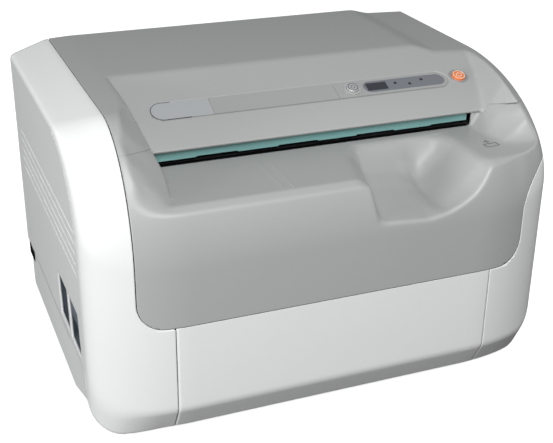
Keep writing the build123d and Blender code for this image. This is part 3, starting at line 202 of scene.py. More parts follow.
# Control strip and keys on the slope: places along X and up the slope from the strip's centre line
STRIP_DOWN = 68
STRIP_Y = CREASE_Y - STRIP_DOWN * math.cos(SLOPE)
STRIP_Z = TOP_Z - STRIP_DOWN * math.sin(SLOPE)
STRIP_LEFT = -164
STRIP_RIGHT = 213
STRIP_HEIGHT = 28
STRIP_GAP = 0.15
ROUND_KEY = (84, 7.4)
POWER_KEY = (228.5, 8.4)
KEY_GAP = 0.3
KEY_TOP = 3.5

# Fine raised lines: half width, height, depth under the surface and share of the width kept at the top
LINE_HALF = 0.5
LINE_HEIGHT = 0.16
LINE_SINK = 0.3
LINE_TOP_SHARE = 0.8
TRAY_LINES = ((-178, -118, -178, -183), (-62, -86, -62, -184), (-50, -86, -50, -184))
INSERT_MARK = (
    ((206, -154), (222, -154), (222, -145), (206, -145), (206, -154)), ((214, -143), (214, -135)),
    ((210.5, -139), (214, -135), (217.5, -139)),
)

# Outlines, signs and the painted shade in the nameplate's gap on the slope: arcs in degrees from +X,
# distances from an edge or a centre, half widths
NAMEPLATE_SHADE_ARC = (80, 280)
NAMEPLATE_SHADE_TAILS = (12, 30)
NAMEPLATE_SHADE_HALF = 0.45
POWER_OUTLINE_OUT = 2.6
POWER_OUTLINE_HALF = 0.4
SIGN_LIFT = 0.02
POWER_RIM_IN = 1.3
POWER_RIM_HALF = 0.5
POWER_SIGN_RADIUS = 3.4
POWER_SIGN_ARC = (125, 415)
POWER_SIGN_HALF = 0.55
POWER_BAR = (1.0, 5.0)
ROUND_RIM_IN = 1.4
ROUND_RIM_HALF = 0.45
ROUND_RING_RADIUS = 2.6
ROUND_RING_HALF = 0.35

# How finely places are searched for
SETTLE_PASSES = 6
SETTLE_REACH = 0.05
CUT_HALVINGS = 14
TRAY_HALVINGS = 30
TRAY_SEARCH = (-40.0, 30.0)


# Curves and blends


def soft_line(knots, radius):
    """A line that runs straight between knots, each knot rounded by averaging the line over a radius."""
    places, values = np.array(knots, float).T
    step = radius / 16
    samples = np.arange(places[0] - radius * 2, places[-1] + radius * 2, step)
    count = 16
    window = np.hanning(count * 2 + 3)[1:-1]
    line = np.interp(samples, places, values)
    line = np.convolve(np.pad(line, count, mode="edge"), window / window.sum(), "valid")
    return lambda x: np.interp(x, samples, line)


def lines_from_front(rows, radius):
    """A soft line along Y for each value of rows that start with a distance from the front."""
    places, *columns = zip(*rows)
    return [soft_line([(FRONT_Y + place, value) for place, value in zip(places, column)], radius)
            for column in columns]


def blend_max(a, b, radius):
    """The larger of two fields, eased into each other by a parabola where they differ by less than a
    radius."""
    near = np.maximum(radius - np.abs(a - b), 0)
    return np.maximum(a, b) + near * near / (4 * radius)


def blend_min(a, b, radius):
    """The smaller of two fields, eased in the same way."""
    return -blend_max(-a, -b, radius)


def steepness(height, x, y):
    """Length of the normal of a height over the plan, from differences one millimetre apart."""
    along = height(x + 0.5, y) - height(x - 0.5, y)
    across = height(x, y + 0.5) - height(x, y - 0.5)
    return np.sqrt(1 + along * along + across * across)


top_line = soft_line(TOP_KNOTS, TOP_ROUND)
chin_line = soft_line(CHIN_KNOTS, ARCH_ROUND)
flare_rise = soft_line(FLARE_RISE, ARCH_ROUND)
arch_line = soft_line(ARCH_KNOTS, ARCH_ROUND)
spring_line = soft_line(SPRING_KNOTS, ARCH_ROUND)
left_inner, left_outer = lines_from_front(LEFT_FLANK, FLANK_ROUND)
right_inner, right_outer = lines_from_front(RIGHT_FLANK, FLANK_ROUND)
scoop_left, scoop_right, scoop_deep = lines_from_front(SCOOP_ROWS, SCOOP_ROUND)
scoop_front = soft_line(SCOOP_FRONT_SHARES, SCOOP_SHARE_ROUND)
scoop_rear = soft_line(SCOOP_REAR_SHARES, SCOOP_SHARE_ROUND)
scoop_turn = soft_line(SCOOP_TURN, SCOOP_ROUND)


# Fields: each is about the distance outside a form, negative inside it


def plan_front(x):
    """Front in plan: straight, then a quarter of an ellipse at each corner."""
    share = np.clip((np.abs(x) - (HALF_WIDTH - CORNER_RUN)) / CORNER_RUN, 0, 1)
    return FRONT_Y + CORNER_DEPTH * (1 - np.sqrt(1 - share * share))


def lower_edge(x):
    """Height of the lower edge: level, then a quarter circle up at each corner."""
    reach = np.clip(np.abs(x) - (HALF_WIDTH - LOWER_CORNER), 0, LOWER_CORNER)
    return FOOT_Z + LOWER_CORNER - np.sqrt(LOWER_CORNER**2 - reach**2)


def line_field(start, end, y, z):
    """Distance in front of a sloping line that rises from front to back, in the side view."""
    run, rise = end[0] - start[0], end[1] - start[1]
    return ((z - start[1]) * run - (y - start[0]) * rise) / math.hypot(run, rise)


def body(x, y, z):
    """The whole body: an elliptic arch from the front to the top, with sides, chin and lower edge."""
    front = plan_front(x)
    run = arch_line(x) - front
    rise = top_line(x) - spring_line(x)
    p = np.maximum(arch_line(x) - y, TINY) / run
    q = np.maximum(z - spring_line(x), TINY) / rise
    r = np.hypot(p, q)
    form = (r - 1) * r / np.hypot(p / run, q / rise)
    edge = SIDE_ROUND + SHOULDER_ROUND * np.clip((z - SHOULDER_LOW_Z) / SHOULDER_RAMP, 0, 1)
    form = blend_max(form, np.abs(x) - HALF_WIDTH, edge)
    low = lower_edge(x)
    deep = chin_line(x)
    chin = ((front - y) * CHIN_HEIGHT + (low + CHIN_HEIGHT - z) * deep) / np.hypot(CHIN_HEIGHT, deep)
    form = blend_max(form, chin, CHIN_ROUND)
    return blend_max(form, low - z, FOOT_ROUND)


def left_floor(x, y):
    """Height of the left flank: straight across between its inner and its outer line."""
    share = (LEFT_FLANK_INNER - x) / (LEFT_FLANK_INNER - LEFT_FLANK_OUTER)
    return TRAY_Z + left_inner(y) + (left_outer(y) - left_inner(y)) * share


def right_floor(x, y):
    """Height of the right flank, in the same way."""
    share = (x - SLOT_RIGHT) / (RIGHT_FLANK_X - SLOT_RIGHT)
    return TRAY_Z + right_inner(y) + (right_outer(y) - right_inner(y)) * share


def flanked(profile, x, y, z):
    """A profile with the two flanks that rise beside it."""
    left = (z - left_floor(x, y)) / steepness(left_floor, x, y)
    wall = (x - SLOT_LEFT + WALL_LEAN * np.maximum(z - LIP_Z, 0)) / math.hypot(1, WALL_LEAN)
    left = blend_max(left, wall, WALL_ROUND)
    right = (z - right_floor(x, y)) / steepness(right_floor, x, y)
    return blend_min(blend_min(profile, left, LEFT_FILL), right, RIGHT_FILL)


def scoop_floor(x, y):
    """Bottom of the hand scoop: its depth along Y times a share across it, rising steeply beside it. The
    share goes over from one line across at the front to another at the rear."""
    share = (x - scoop_left(y)) / (scoop_right(y) - scoop_left(y))
    turn = scoop_turn(y)
    across = scoop_front(share) * (1 - turn) + scoop_rear(share) * turn
    deep = scoop_deep(y)
    beside = np.maximum(-share, 0) + np.maximum(share - 1, 0)
    return TRAY_Z - np.maximum(deep, 0) * across - np.minimum(deep, 0) + beside * SCOOP_OUTSIDE


def side_form(x, y, z):
    """Body with the tray, the crest and the flanks."""
    tray = z - TRAY_Z + 0 * y
    end_block = np.maximum(np.maximum(SLOT_RIGHT - x, LIP_Y + END_SETBACK - y), z - LIP_Z - END_SETBACK)
    tray = blend_min(tray, end_block, END_SETBACK)
    for start, end in zip(CREST_POINTS, CREST_POINTS[1:]):
        tray = blend_max(tray, line_field(end, start, y, z), CREST_ROUND)
    return blend_max(body(x, y, z), flanked(tray, x, y, z), RIDGE_ROUND)


def lower_form(x, y, z):
    """Body with the tray, the crest, the flanks and the scoop."""
    scoop = (z - scoop_floor(x, y)) / steepness(scoop_floor, x, y)
    return blend_max(side_form(x, y, z), scoop, SCOOP_RIM)


def upper_form(x, y, z):
    """The top cover: crown, slope, lip over the slot and the upper flanks."""
    slope = (z - TOP_Z) * math.cos(SLOPE) - (y - CREASE_Y) * math.sin(SLOPE)
    face = line_field(LIP_NOSE, LIP_CORNER, y, z)
    under = line_field((LIP_Y, LIP_Z), LIP_NOSE, y, z)
    lip = blend_max(blend_max(slope, face, SLOPE_ROUND), under, LIP_ROUND)
    lip = np.maximum(lip, LIP_Z - z)
    return blend_max(body(x, y, z), flanked(lip, x, y, z), RIDGE_ROUND)


def grooved_form(x, y, z):
    """The side form with round-ended grooves cut along both sides."""
    radius = (GROOVE_HALF**2 + GROOVE_DEPTH**2) / (GROOVE_DEPTH * 2)
    middle = (GROOVE_SPAN[0] + GROOVE_SPAN[1]) / 2
    half = (GROOVE_SPAN[1] - GROOVE_SPAN[0]) / 2 - GROOVE_HALF
    row = np.clip(np.round((GROOVE_TOP_Z - z) / GROOVE_PITCH), 0, GROOVE_COUNT - 1)
    down = z - (GROOVE_TOP_Z - row * GROOVE_PITCH)
    out = np.abs(x) - (HALF_WIDTH + radius - GROOVE_DEPTH)
    past = np.maximum(np.abs(y - middle) - half, 0)
    groove = np.sqrt(down * down + out * out + past * past) - radius
    whole = np.where(z > PARTING_Z, body(x, y, z), side_form(x, y, z))
    return blend_max(whole, -groove, GROOVE_ROUND)


def pad_form(x, y, z):
    """A block with round edges against the base's side at the rear, with shallow ribs along it."""
    spans = ((BASE_SIDE - PAD_SINK, HALF_WIDTH - PAD_SINK), (PAD_FRONT_Y, REAR_Y), (PAD_LOW_Z, PAD_HIGH_Z))
    past = [np.abs(place - (low + high) / 2) - (high - low) / 2 + PAD_ROUND
            for place, (low, high) in zip((np.abs(x), y, z), spans)]
    outside = np.sqrt(sum(np.maximum(distance, 0) ** 2 for distance in past))
    inside = np.minimum(np.maximum(np.maximum(past[0], past[1]), past[2]), 0)
    rib = PAD_RIB * (1 - np.cos((z - PAD_LOW_Z) * 2 * np.pi / PAD_RIB_PITCH)) / 2
    return outside + inside - PAD_ROUND + rib


# Seams: each is the distance inside the part of the skin that a piece keeps


def apron_outline(x, y, z):
    """Inside the grey front, with round lower corners and a flare at the right that rises along the side."""
    start_z = FLARE_Z + flare_rise(y)
    flare = np.hypot(x - (RIGHT_SEAM_X + FLARE_RADIUS), np.maximum(z - start_z, 0)) - FLARE_RADIUS
    inside = np.minimum(np.minimum(x - LEFT_SEAM_X, flare), z - APRON_LOW_Z)
    centre_z = APRON_LOW_Z + APRON_CORNER
    for corner_x, side in ((LEFT_SEAM_X + APRON_CORNER, -1), (RIGHT_SEAM_X - APRON_CORNER, 1)):
        corner = APRON_CORNER - np.hypot(x - corner_x, z - centre_z)
        at_corner = ((x - corner_x) * side > 0) & (z < centre_z)
        inside = np.where(at_corner, corner, inside)
    return inside


def parting(x, y, z):
    """Above the line between top cover and apron: over the flanks' line, or in the lip."""
    above = z - PARTING_Z - PARTING_RATE * np.maximum(PARTING_TURN_Y - y, 0)
    left, right, front, low = LIP_SEAM
    lip = np.minimum(np.minimum(x - left, right - x), np.minimum(y - front, z - low + PARTING_DROP))
    return np.maximum(above, lip)


def side_outline(x, y, z):
    """Inside a side cover: outside the apron and the lower panel, and above the base strip."""
    beside = np.minimum(-apron_outline(x, y, z), np.maximum(np.abs(x) - PANEL_HALF, z - APRON_LOW_Z))
    wrap = WRAP_FOOT_Y + (z - FOOT_Z) * (WRAP_TOP_Y - WRAP_FOOT_Y) / (SIDE_LOW_Z - FOOT_Z) - y
    return np.minimum(beside, np.minimum(np.maximum(z - SIDE_LOW_Z, wrap), REAR_Y - y))


def outside_vents(x, y, z):
    """Outside the two leaning side openings and the notch below them."""
    lean = VENT_LEAN * (VENT_HIGH_Z - z) / (VENT_HIGH_Z - VENT_LOW_Z)
    clear = np.full(np.shape(z), np.inf)
    rear = VENT_REAR_Y
    for _ in range(2):
        ahead = rear - VENT_LENGTH
        upright = np.minimum(z - VENT_LOW_Z, VENT_HIGH_Z - z)
        leaning = np.minimum(rear - lean - y, y - ahead + lean)
        clear = np.minimum(clear, -np.minimum(upright, leaning))
        rear = ahead - VENT_STRUT
    front = VENT_REAR_Y - VENT_LENGTH * 2 - VENT_STRUT
    notch = np.minimum(np.minimum(SIDE_LOW_Z + NOTCH_HEIGHT - z, y - front), VENT_REAR_Y - VENT_LENGTH - y)
    return np.minimum(clear, -notch)


def up_slope(y, z):
    """Place up the slope from the control strip's centre line."""
    return (y - STRIP_Y) * math.cos(SLOPE) + (z - STRIP_Z) * math.sin(SLOPE)


def outside_strip(x, y, z):
    """Outside the control strip's recess and the power key's hole."""
    up = up_slope(y, z)
    half = STRIP_HEIGHT / 2
    along = x - np.clip(x, STRIP_LEFT + half, STRIP_RIGHT - half)
    strip = np.hypot(along, up) - half - STRIP_GAP
    return np.minimum(strip, np.hypot(x - POWER_KEY[0], up) - POWER_KEY[1] - KEY_GAP)


# Surfaces


def stepped(*spans):
    """Places along an axis, from (start, end, spacing) spans that follow each other. Spans are finer
    where a form turns tightly."""
    parts = [np.arange(start, end, spacing) for start, end, spacing in spans]
    return np.concatenate([*parts, [spans[-1][1]]])


def settle(points, form):
    """Moves points along a field's slope until the field is zero there."""
    reach = SETTLE_REACH
    for _ in range(SETTLE_PASSES):
        x, y, z = points.T
        value = form(x, y, z)
        slope = np.stack([
            form(x + reach, y, z) - form(x - reach, y, z),
            form(x, y + reach, z) - form(x, y - reach, z),
            form(x, y, z + reach) - form(x, y, z - reach),
        ], axis=1) / (reach * 2)
        size = np.maximum((slope * slope).sum(axis=1), 0.01)
        step = -value / size
        points = points + slope * step[:, None]
    return points


def zero_surface(form, xs, ys, zs):
    """Skin of a form over a grid of cells: one point in each cell that the zero of the field crosses,
    one quad, cut in two, round each grid edge whose ends lie on both sides. Points then settle."""
    inside = form(xs[:, None, None], ys[None, :, None], zs[None, None, :]) < 0
    cells = np.array(inside.shape) - 1
    middles = [(ticks[1:] + ticks[:-1]) / 2 for ticks in (xs, ys, zs)]
    corners = []
    for axis in range(3):
        here = np.moveaxis(inside, axis, 0)
        change = np.moveaxis(here[1:] != here[:-1], 0, axis)
        starts = np.moveaxis(here[:-1], 0, axis)
        b, c = (axis + 1) % 3, (axis + 2) % 3
        place = np.array(np.nonzero(change))
        room = (place[b] > 0) & (place[b] < cells[b]) & (place[c] > 0) & (place[c] < cells[c])
        place = place[:, room]
        outward = starts[tuple(place)]
        ring = []
        for back_b, back_c in ((0, 0), (1, 0), (1, 1), (0, 1)):
            cell = place.copy()
            cell[b] -= back_b
            cell[c] -= back_c
            ring.append(np.ravel_multi_index(tuple(cell), tuple(cells)))
        ring = np.stack(ring, axis=1)
        corners.append(np.where(outward[:, None], ring, ring[:, ::-1]))
    used, quads = np.unique(np.concatenate(corners), return_inverse=True)
    quads = quads.reshape(-1, 4)
    i, j, k = np.unravel_index(used, tuple(cells))
    points = np.stack([middles[0][i], middles[1][j], middles[2][k]], axis=1)
    points = settle(points, form)
    return points, np.concatenate([quads[:, [0, 1, 2]], quads[:, [0, 2, 3]]])


def trim(points, triangles, keep):
    """Cuts a skin along the zero of a keep field. A triangle that crosses it is cut at the two places on
    its sides where halving finds the field zero."""
    value = keep(*points.T)
    good = value[triangles] >= 0
    count = good.sum(axis=1)
    crossed = (count == 1) | (count == 2)
    whole, cut, good = triangles[count == 3], triangles[crossed], good[crossed]
    lone_good = good.sum(axis=1) == 1
    first = np.where(lone_good, good.argmax(axis=1), (~good).argmax(axis=1))
    turned = np.take_along_axis(cut, (first[:, None] + np.arange(3)) % 3, axis=1)
    edges = np.concatenate([turned[:, [0, 1]], turned[:, [0, 2]]])
    edges = np.sort(edges, axis=1)
    unique, back = np.unique(edges, axis=0, return_inverse=True)
    back = back.reshape(-1)
    a, b = points[unique[:, 0]], points[unique[:, 1]]
    low, high = np.zeros(len(a)), np.ones(len(a))
    a_good = value[unique[:, 0]] >= 0
    for _ in range(CUT_HALVINGS):
        middle = (low + high) / 2
        same = (keep(*(a + (b - a) * middle[:, None]).T) >= 0) == a_good
        low, high = np.where(same, middle, low), np.where(same, high, middle)
    new = a + (b - a) * ((low + high) / 2)[:, None]
    base = len(points)
    ab, ac = base + back[: len(cut)], base + back[len(cut):]
    one = np.stack([turned[:, 0], ab, ac], axis=1)[lone_good]
    two = np.stack([ab, turned[:, 1], turned[:, 2]], axis=1)[~lone_good]
    three = np.stack([ab, turned[:, 2], ac], axis=1)[~lone_good]
    points = np.concatenate([points, new])
    triangles = np.concatenate([whole, one, two, three])
    used, triangles = np.unique(triangles, return_inverse=True)
    return points[used], triangles.reshape(-1, 3)


def make_piece(name, points, faces, materials, smooth=True):
    """A mesh object from points in millimetres and an array of equal faces."""
    mesh = bpy.data.meshes.new(name)
    sides = faces.shape[1]
    mesh.vertices.add(len(points))
    mesh.vertices.foreach_set("co", (points * MM).astype(np.float32).ravel())
    mesh.loops.add(faces.size)
    mesh.loops.foreach_set("vertex_index", faces.astype(np.int32).ravel())
    mesh.polygons.add(len(faces))
    mesh.polygons.foreach_set("loop_start", np.arange(0, faces.size, sides, dtype=np.int32))
    mesh.update(calc_edges=True)
    mesh.validate()
    mesh.polygons.foreach_set("use_smooth", np.full(len(mesh.polygons), smooth))
    piece = bpy.data.objects.new(name, mesh)
    bpy.context.scene.collection.objects.link(piece)
    for material in materials:
        mesh.materials.append(material)
    return piece


def half_seam(context):
    """Half the gap between neighbouring covers, in millimetres."""
    return context.scene.scanner_covers.seam / MM / 2


def cover_piece(name, form, ticks, keeps, slot, node):
    """A moulded cover: the trimmed skin of a form, given the wall's thickness inwards."""
    points, triangles = zero_surface(form, *ticks)
    for keep in keeps:
        points, triangles = trim(points, triangles, keep)
    piece = make_piece(name, points, triangles, [finish(slot)])
    wall = piece.modifiers.new("wall", "SOLIDIFY")
    wall.thickness = bpy.context.scene.scanner_covers.wall
    wall.offset = -1
    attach(piece, "housing")
    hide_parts(node)
    return piece


# Finishes


def shade(red, green, blue):
    """A colour written as it looks on screen, from 0 to 255, as linear light."""
    values = np.array([red, green, blue]) / 255
    linear = np.where(values <= 0.04045, values / 12.92, ((values + 0.055) / 1.055) ** 2.4)
    return (*linear.tolist(), 1.0)


def new_group(name, inputs, outputs):
    """An empty shader group with named inputs and outputs."""
    group = bpy.data.node_groups.new(name, "ShaderNodeTree")
    for label, kind, value in inputs:
        socket = group.interface.new_socket(label, in_out="INPUT", socket_type=kind)
        socket.default_value = value
    for label, kind in outputs:
        group.interface.new_socket(label, in_out="OUTPUT", socket_type=kind)
    return group, group.nodes.new("NodeGroupInput"), group.nodes.new("NodeGroupOutput")


def add_node(tree, kind, links=(), **settings):
    """A node with its settings and inputs. An input is a value, or a socket to link from."""
    node = tree.nodes.new(kind)
    for key, value in settings.items():
        setattr(node, key, value)
    for key, value in dict(links).items():
        if isinstance(value, bpy.types.NodeSocket):
            tree.links.new(value, node.inputs[key])
        else:
            node.inputs[key].default_value = value
    return node


DRIFT_SCALE = 9.0
SMUDGE_SCALE = 38.0
SMUDGE_TWIST = 0.4


def surface_group():
    """Fine grain, slow drift of tone and soft smudges of one surface, read from Object coordinates."""
    group, start, end = new_group(
        "surface_detail",
        [("Color", "NodeSocketColor", (0.5, 0.5, 0.5, 1)), ("Grain Size", "NodeSocketFloat", 0.0006),
         ("Tone Drift", "NodeSocketFloat", 0.03), ("Roughness", "NodeSocketFloat", 0.4),
         ("Roughness Drift", "NodeSocketFloat", 0.06), ("Stretch", "NodeSocketVector", (1, 1, 1))],
        [("Color", "NodeSocketColor"), ("Roughness", "NodeSocketFloat"), ("Height", "NodeSocketFloat")],
    )
    place = add_node(group, "ShaderNodeTexCoord")
    stretched = add_node(group, "ShaderNodeVectorMath", operation="MULTIPLY",
                         links={0: place.outputs["Object"], 1: start.outputs["Stretch"]})
    scale = add_node(group, "ShaderNodeMath", operation="DIVIDE",
                     links={0: 1.0, 1: start.outputs["Grain Size"]})
    grain = add_node(group, "ShaderNodeTexNoise", links={
        "Vector": stretched.outputs[0], "Scale": scale.outputs[0], "Detail": 2.0, "Roughness": 0.5})
    drift = add_node(group, "ShaderNodeTexNoise", links={
        "Vector": stretched.outputs[0], "Scale": DRIFT_SCALE, "Detail": 3.0, "Roughness": 0.55})
    smudge = add_node(group, "ShaderNodeTexNoise", links={
        "Vector": place.outputs["Object"], "Scale": SMUDGE_SCALE, "Detail": 4.0, "Roughness": 0.6,
        "Distortion": SMUDGE_TWIST})
    centred = add_node(group, "ShaderNodeMath", operation="SUBTRACT", links={0: drift.outputs["Fac"], 1: 0.5})
    tone = add_node(group, "ShaderNodeMath", operation="MULTIPLY_ADD",
                    links={0: centred.outputs[0], 1: start.outputs["Tone Drift"], 2: 1.0})
    color = add_node(group, "ShaderNodeVectorMath", operation="SCALE",
                     links={0: start.outputs["Color"], "Scale": tone.outputs[0]})
    uneven = add_node(group, "ShaderNodeMath", operation="SUBTRACT", links={0: smudge.outputs["Fac"], 1: 0.5})
    rough = add_node(group, "ShaderNodeMath", operation="MULTIPLY_ADD", links={
        0: uneven.outputs[0], 1: start.outputs["Roughness Drift"], 2: start.outputs["Roughness"]})
    group.links.new(color.outputs[0], end.inputs["Color"])
    group.links.new(rough.outputs[0], end.inputs["Roughness"])
    group.links.new(grain.outputs["Fac"], end.inputs["Height"])
    return group


# Each finish: colour, roughness, metal share, coat, grain size in metres, depth of grain, tone drift
FINISHES = {
    "grey_cover": (shade(172, 174, 173), 0.42, 0, 0.1, 0.0007, 0.05, 0.03),
    "white_cover": (shade(232, 234, 233), 0.4, 0, 0.1, 0.0007, 0.04, 0.02),
    "pale_base": (shade(224, 227, 226), 0.5, 0, 0, 0.0008, 0.06, 0.04),
    "panel_grey": (shade(164, 167, 166), 0.38, 0, 0.1, 0.0005, 0.04, 0.03),
    "nameplate_silver": (shade(184, 188, 190), 0.34, 0.15, 0.1, 0.0004, 0.05, 0.04),
    "window_blue_grey": (shade(122, 126, 132), 0.25, 0, 0.3, 0.0006, 0.01, 0.05),
    "screen_dark": (shade(60, 63, 70), 0.2, 0, 0.4, 0.0006, 0, 0.08),
    "light_dark": (shade(58, 60, 68), 0.25, 0, 0.3, 0.0005, 0, 0.05),
    "key_white": (shade(190, 193, 194), 0.3, 0.25, 0.2, 0.0005, 0.03, 0.03),
    "key_orange": (shade(236, 128, 62), 0.32, 0, 0.3, 0.0005, 0.03, 0.05),
    "bezel_silver": (shade(205, 207, 208), 0.25, 0.6, 0.1, 0.0004, 0.03, 0.03),
    "shutter_teal": (shade(122, 170, 167), 0.3, 0, 0.2, 0.0005, 0.02, 0.05),
    "black_plastic": (shade(8, 8, 9), 0.7, 0, 0, 0.0006, 0.01, 0.08),
    "liner_slate": (shade(104, 114, 122), 0.6, 0, 0, 0.0006, 0.02, 0.08),
    "rubber_black": (shade(12, 12, 13), 0.75, 0, 0, 0.0009, 0.15, 0.1),
    "cup_rubber": (shade(58, 52, 48), 0.6, 0, 0, 0.0009, 0.1, 0.1),
    "roller_rubber": (shade(70, 72, 76), 0.65, 0, 0, 0.0008, 0.15, 0.08),
    "sheet_steel": (shade(150, 153, 156), 0.38, 0.85, 0, 0.0005, 0.08, 0.06),
    "rear_steel": (shade(186, 189, 188), 0.5, 0, 0, 0.0009, 0.15, 0.03),
    "motor_dark": (shade(48, 50, 54), 0.45, 0.5, 0, 0.0006, 0.1, 0.06),
    "screw_steel": (shade(170, 172, 175), 0.3, 0.9, 0, 0.0004, 0.05, 0.06),
    "mirror_alu": (shade(225, 228, 230), 0.08, 1.0, 0, 0.0004, 0, 0.02),
    "clear_acrylic": (shade(215, 228, 235), 0.08, 0, 0.4, 0.0006, 0, 0.03),
    "lamp_glass": (shade(238, 238, 232), 0.15, 0, 0.4, 0.0006, 0, 0.03),
    "board_green": (shade(38, 96, 62), 0.4, 0, 0.3, 0.0008, 0.1, 0.12),
    # mark_dark colours the printed signs, and also the painted shade in the gap round the nameplate's left
    # end
    "mark_dark": (shade(66, 69, 74), 0.5, 0, 0, 0.0005, 0.02, 0.05),
    "mark_pale": (shade(232, 226, 218), 0.4, 0, 0, 0.0005, 0.02, 0.05),
    "line_pale": (shade(182, 185, 184), 0.4, 0, 0, 0.0005, 0.02, 0.03),
}
# Finishes whose grain is drawn out along X
STRETCH = {"nameplate_silver": (0.05, 1, 1), "sheet_steel": (0.04, 1, 1)}
BUMP_DISTANCE = 0.0001
COAT_ROUGHNESS = 0.25
COMMON_SHEEN = 0.5
SHEEN = {"black_plastic": 0.05, "rubber_black": 0.1}
OWN_FINISH = {"side_vent_liners": "liner_slate"}
_finishes = {}


def finish(name):
    """The material of a finish, built once from its row and the shared surface detail."""
    if name in _finishes:
        return _finishes[name]
    color, roughness, metal, coat, grain, depth, drift = FINISHES[name]
    chosen = {"grey_cover": "grey", "white_cover": "white", "shutter_teal": "teal", "key_orange": "orange"}
    if name in chosen:
        color = (*getattr(bpy.context.scene.scanner_colours, chosen[name]), 1.0)
    material = bpy.data.materials.new(name)
    material.use_nodes = True
    tree = material.node_tree
    shader = tree.nodes["Principled BSDF"]
    shader.inputs["Metallic"].default_value = metal
    shader.inputs["Coat Weight"].default_value = coat
    shader.inputs["Coat Roughness"].default_value = COAT_ROUGHNESS
    shader.inputs["Specular IOR Level"].default_value = SHEEN.get(name, COMMON_SHEEN)
    detail = add_node(tree, "ShaderNodeGroup", node_tree=shared_detail())
    for label, value in (("Color", color), ("Grain Size", grain), ("Tone Drift", drift),
                         ("Roughness", roughness), ("Stretch", STRETCH.get(name, (1, 1, 1)))):
        detail.inputs[label].default_value = value
    bump = add_node(tree, "ShaderNodeBump", links={
        "Strength": depth, "Distance": BUMP_DISTANCE, "Height": detail.outputs["Height"]})
    tree.links.new(detail.outputs["Color"], shader.inputs["Base Color"])
    tree.links.new(detail.outputs["Roughness"], shader.inputs["Roughness"])
    tree.links.new(bump.outputs["Normal"], shader.inputs["Normal"])
    _finishes[name] = material
    return material


def shared_detail():
    """The surface detail's group, built when it is first asked for."""
    return bpy.data.node_groups.get("surface_detail") or surface_group()


# Settings


class ScannerCovers(bpy.types.PropertyGroup):
    """Sizes of the moulded covers."""

    seam: FloatProperty(name="Seam", description="Gap between neighbouring covers",
                        default=0.0009, min=0, unit="LENGTH")
    wall: FloatProperty(name="Wall", description="Thickness of the covers",
                        default=0.0024, min=0.001, unit="LENGTH")


class ScannerColours(bpy.types.PropertyGroup):
    """Colours that a user may change."""

    grey: FloatVectorProperty(name="Grey", description="Top cover and apron",
                              default=FINISHES["grey_cover"][0][:3], subtype="COLOR", min=0, max=1)
    white: FloatVectorProperty(name="White", description="Side covers and lower panel",
                               default=FINISHES["white_cover"][0][:3], subtype="COLOR", min=0, max=1)
    teal: FloatVectorProperty(name="Teal", description="Slot shutter",
                              default=FINISHES["shutter_teal"][0][:3], subtype="COLOR", min=0, max=1)
    orange: FloatVectorProperty(name="Orange", description="Power key",
                                default=FINISHES["key_orange"][0][:3], subtype="COLOR", min=0, max=1)


class ScannerStudio(bpy.types.PropertyGroup):
    """Lens and lights."""

    lens: FloatProperty(name="Lens", description="Focal length on a 36 mm frame", default=69.454, min=10,
                        subtype="NONE")
    key: FloatProperty(name="Key Light", description="Power of the high light from the front",
                       default=57.0, min=0, unit="POWER")
    left: FloatProperty(name="Left Light", description="Power of the low light from the left",
                        default=31.0, min=0, unit="POWER")
    right: FloatProperty(name="Right Light", description="Power of the light from the right",
                         default=9.0, min=0, unit="POWER")
    rear: FloatProperty(name="Rear Light", description="Power of the light from behind",
                        default=10.0, min=0, unit="POWER")
    ambient: FloatProperty(name="Ambient", description="Strength of the light from all round",
                           default=0.12, min=0)


# Pieces


class SCANNER_OT_side_covers(bpy.types.Operator):
    """Makes the two white side covers, which wrap round the front corners"""

    bl_idname = "scanner.side_covers"
    bl_label = "Side Covers"

    def execute(self, context):
        gap = half_seam(context)
        ys = stepped((FRONT_Y - 4, -150, 2), (-150, -56, 3), (-56, REAR_Y + 3, 4))
        zs = stepped((FOOT_Z - 3, 60, 2.5), (60, 192, 4), (192, 256, 0.8), (256, TOP_Z + 2, 2))
        out = stepped((186, 232, 2.5), (232, 274, 2), (274, HALF_WIDTH + 2, 0.75))
        for name, side in (("left", -1), ("right", 1)):
            xs = out if side > 0 else -out[::-1]

            def keep(x, y, z):
                return np.minimum(side_outline(x, y, z) - gap, x * side)

            cover_piece(name + "_cover_shell", grooved_form, (xs, ys, zs), [keep, outside_vents],
                        "white_cover", name + "_side_cover")
        return {"FINISHED"}


class SCANNER_OT_top_cover(bpy.types.Operator):
    """Makes the grey top with its slope, its lip over the slot and the strip's recess"""

    bl_idname = "scanner.top_cover"
    bl_label = "Top Cover"

    def execute(self, context):
        gap = half_seam(context)
        xs = stepped((LEFT_SEAM_X - 3, -172, 1.5), (-172, 218, 4), (218, HALF_WIDTH + 2, 1.6))
        ys = stepped((-178, -60, 1.5), (-60, 16, 3), (16, 30, 2), (30, REAR_Y + 4, 4))
        zs = stepped((LIP_Z - 4, TOP_Z + 2, 1.5))

        def keep(x, y, z):
            inside = np.minimum(apron_outline(x, y, z) - gap, REAR_Y - y)
            return np.minimum(inside, parting(x, y, z) - gap * PARTING_SHARE)

        def lip_back(x, y, z):
            return np.maximum(z - LIP_Z - 2, SLOT_Y - y)

        cover_piece("top_cover_shell", upper_form, (xs, ys, zs), [keep, lip_back, outside_strip],
                    "grey_cover", "top_cover")
        return {"FINISHED"}


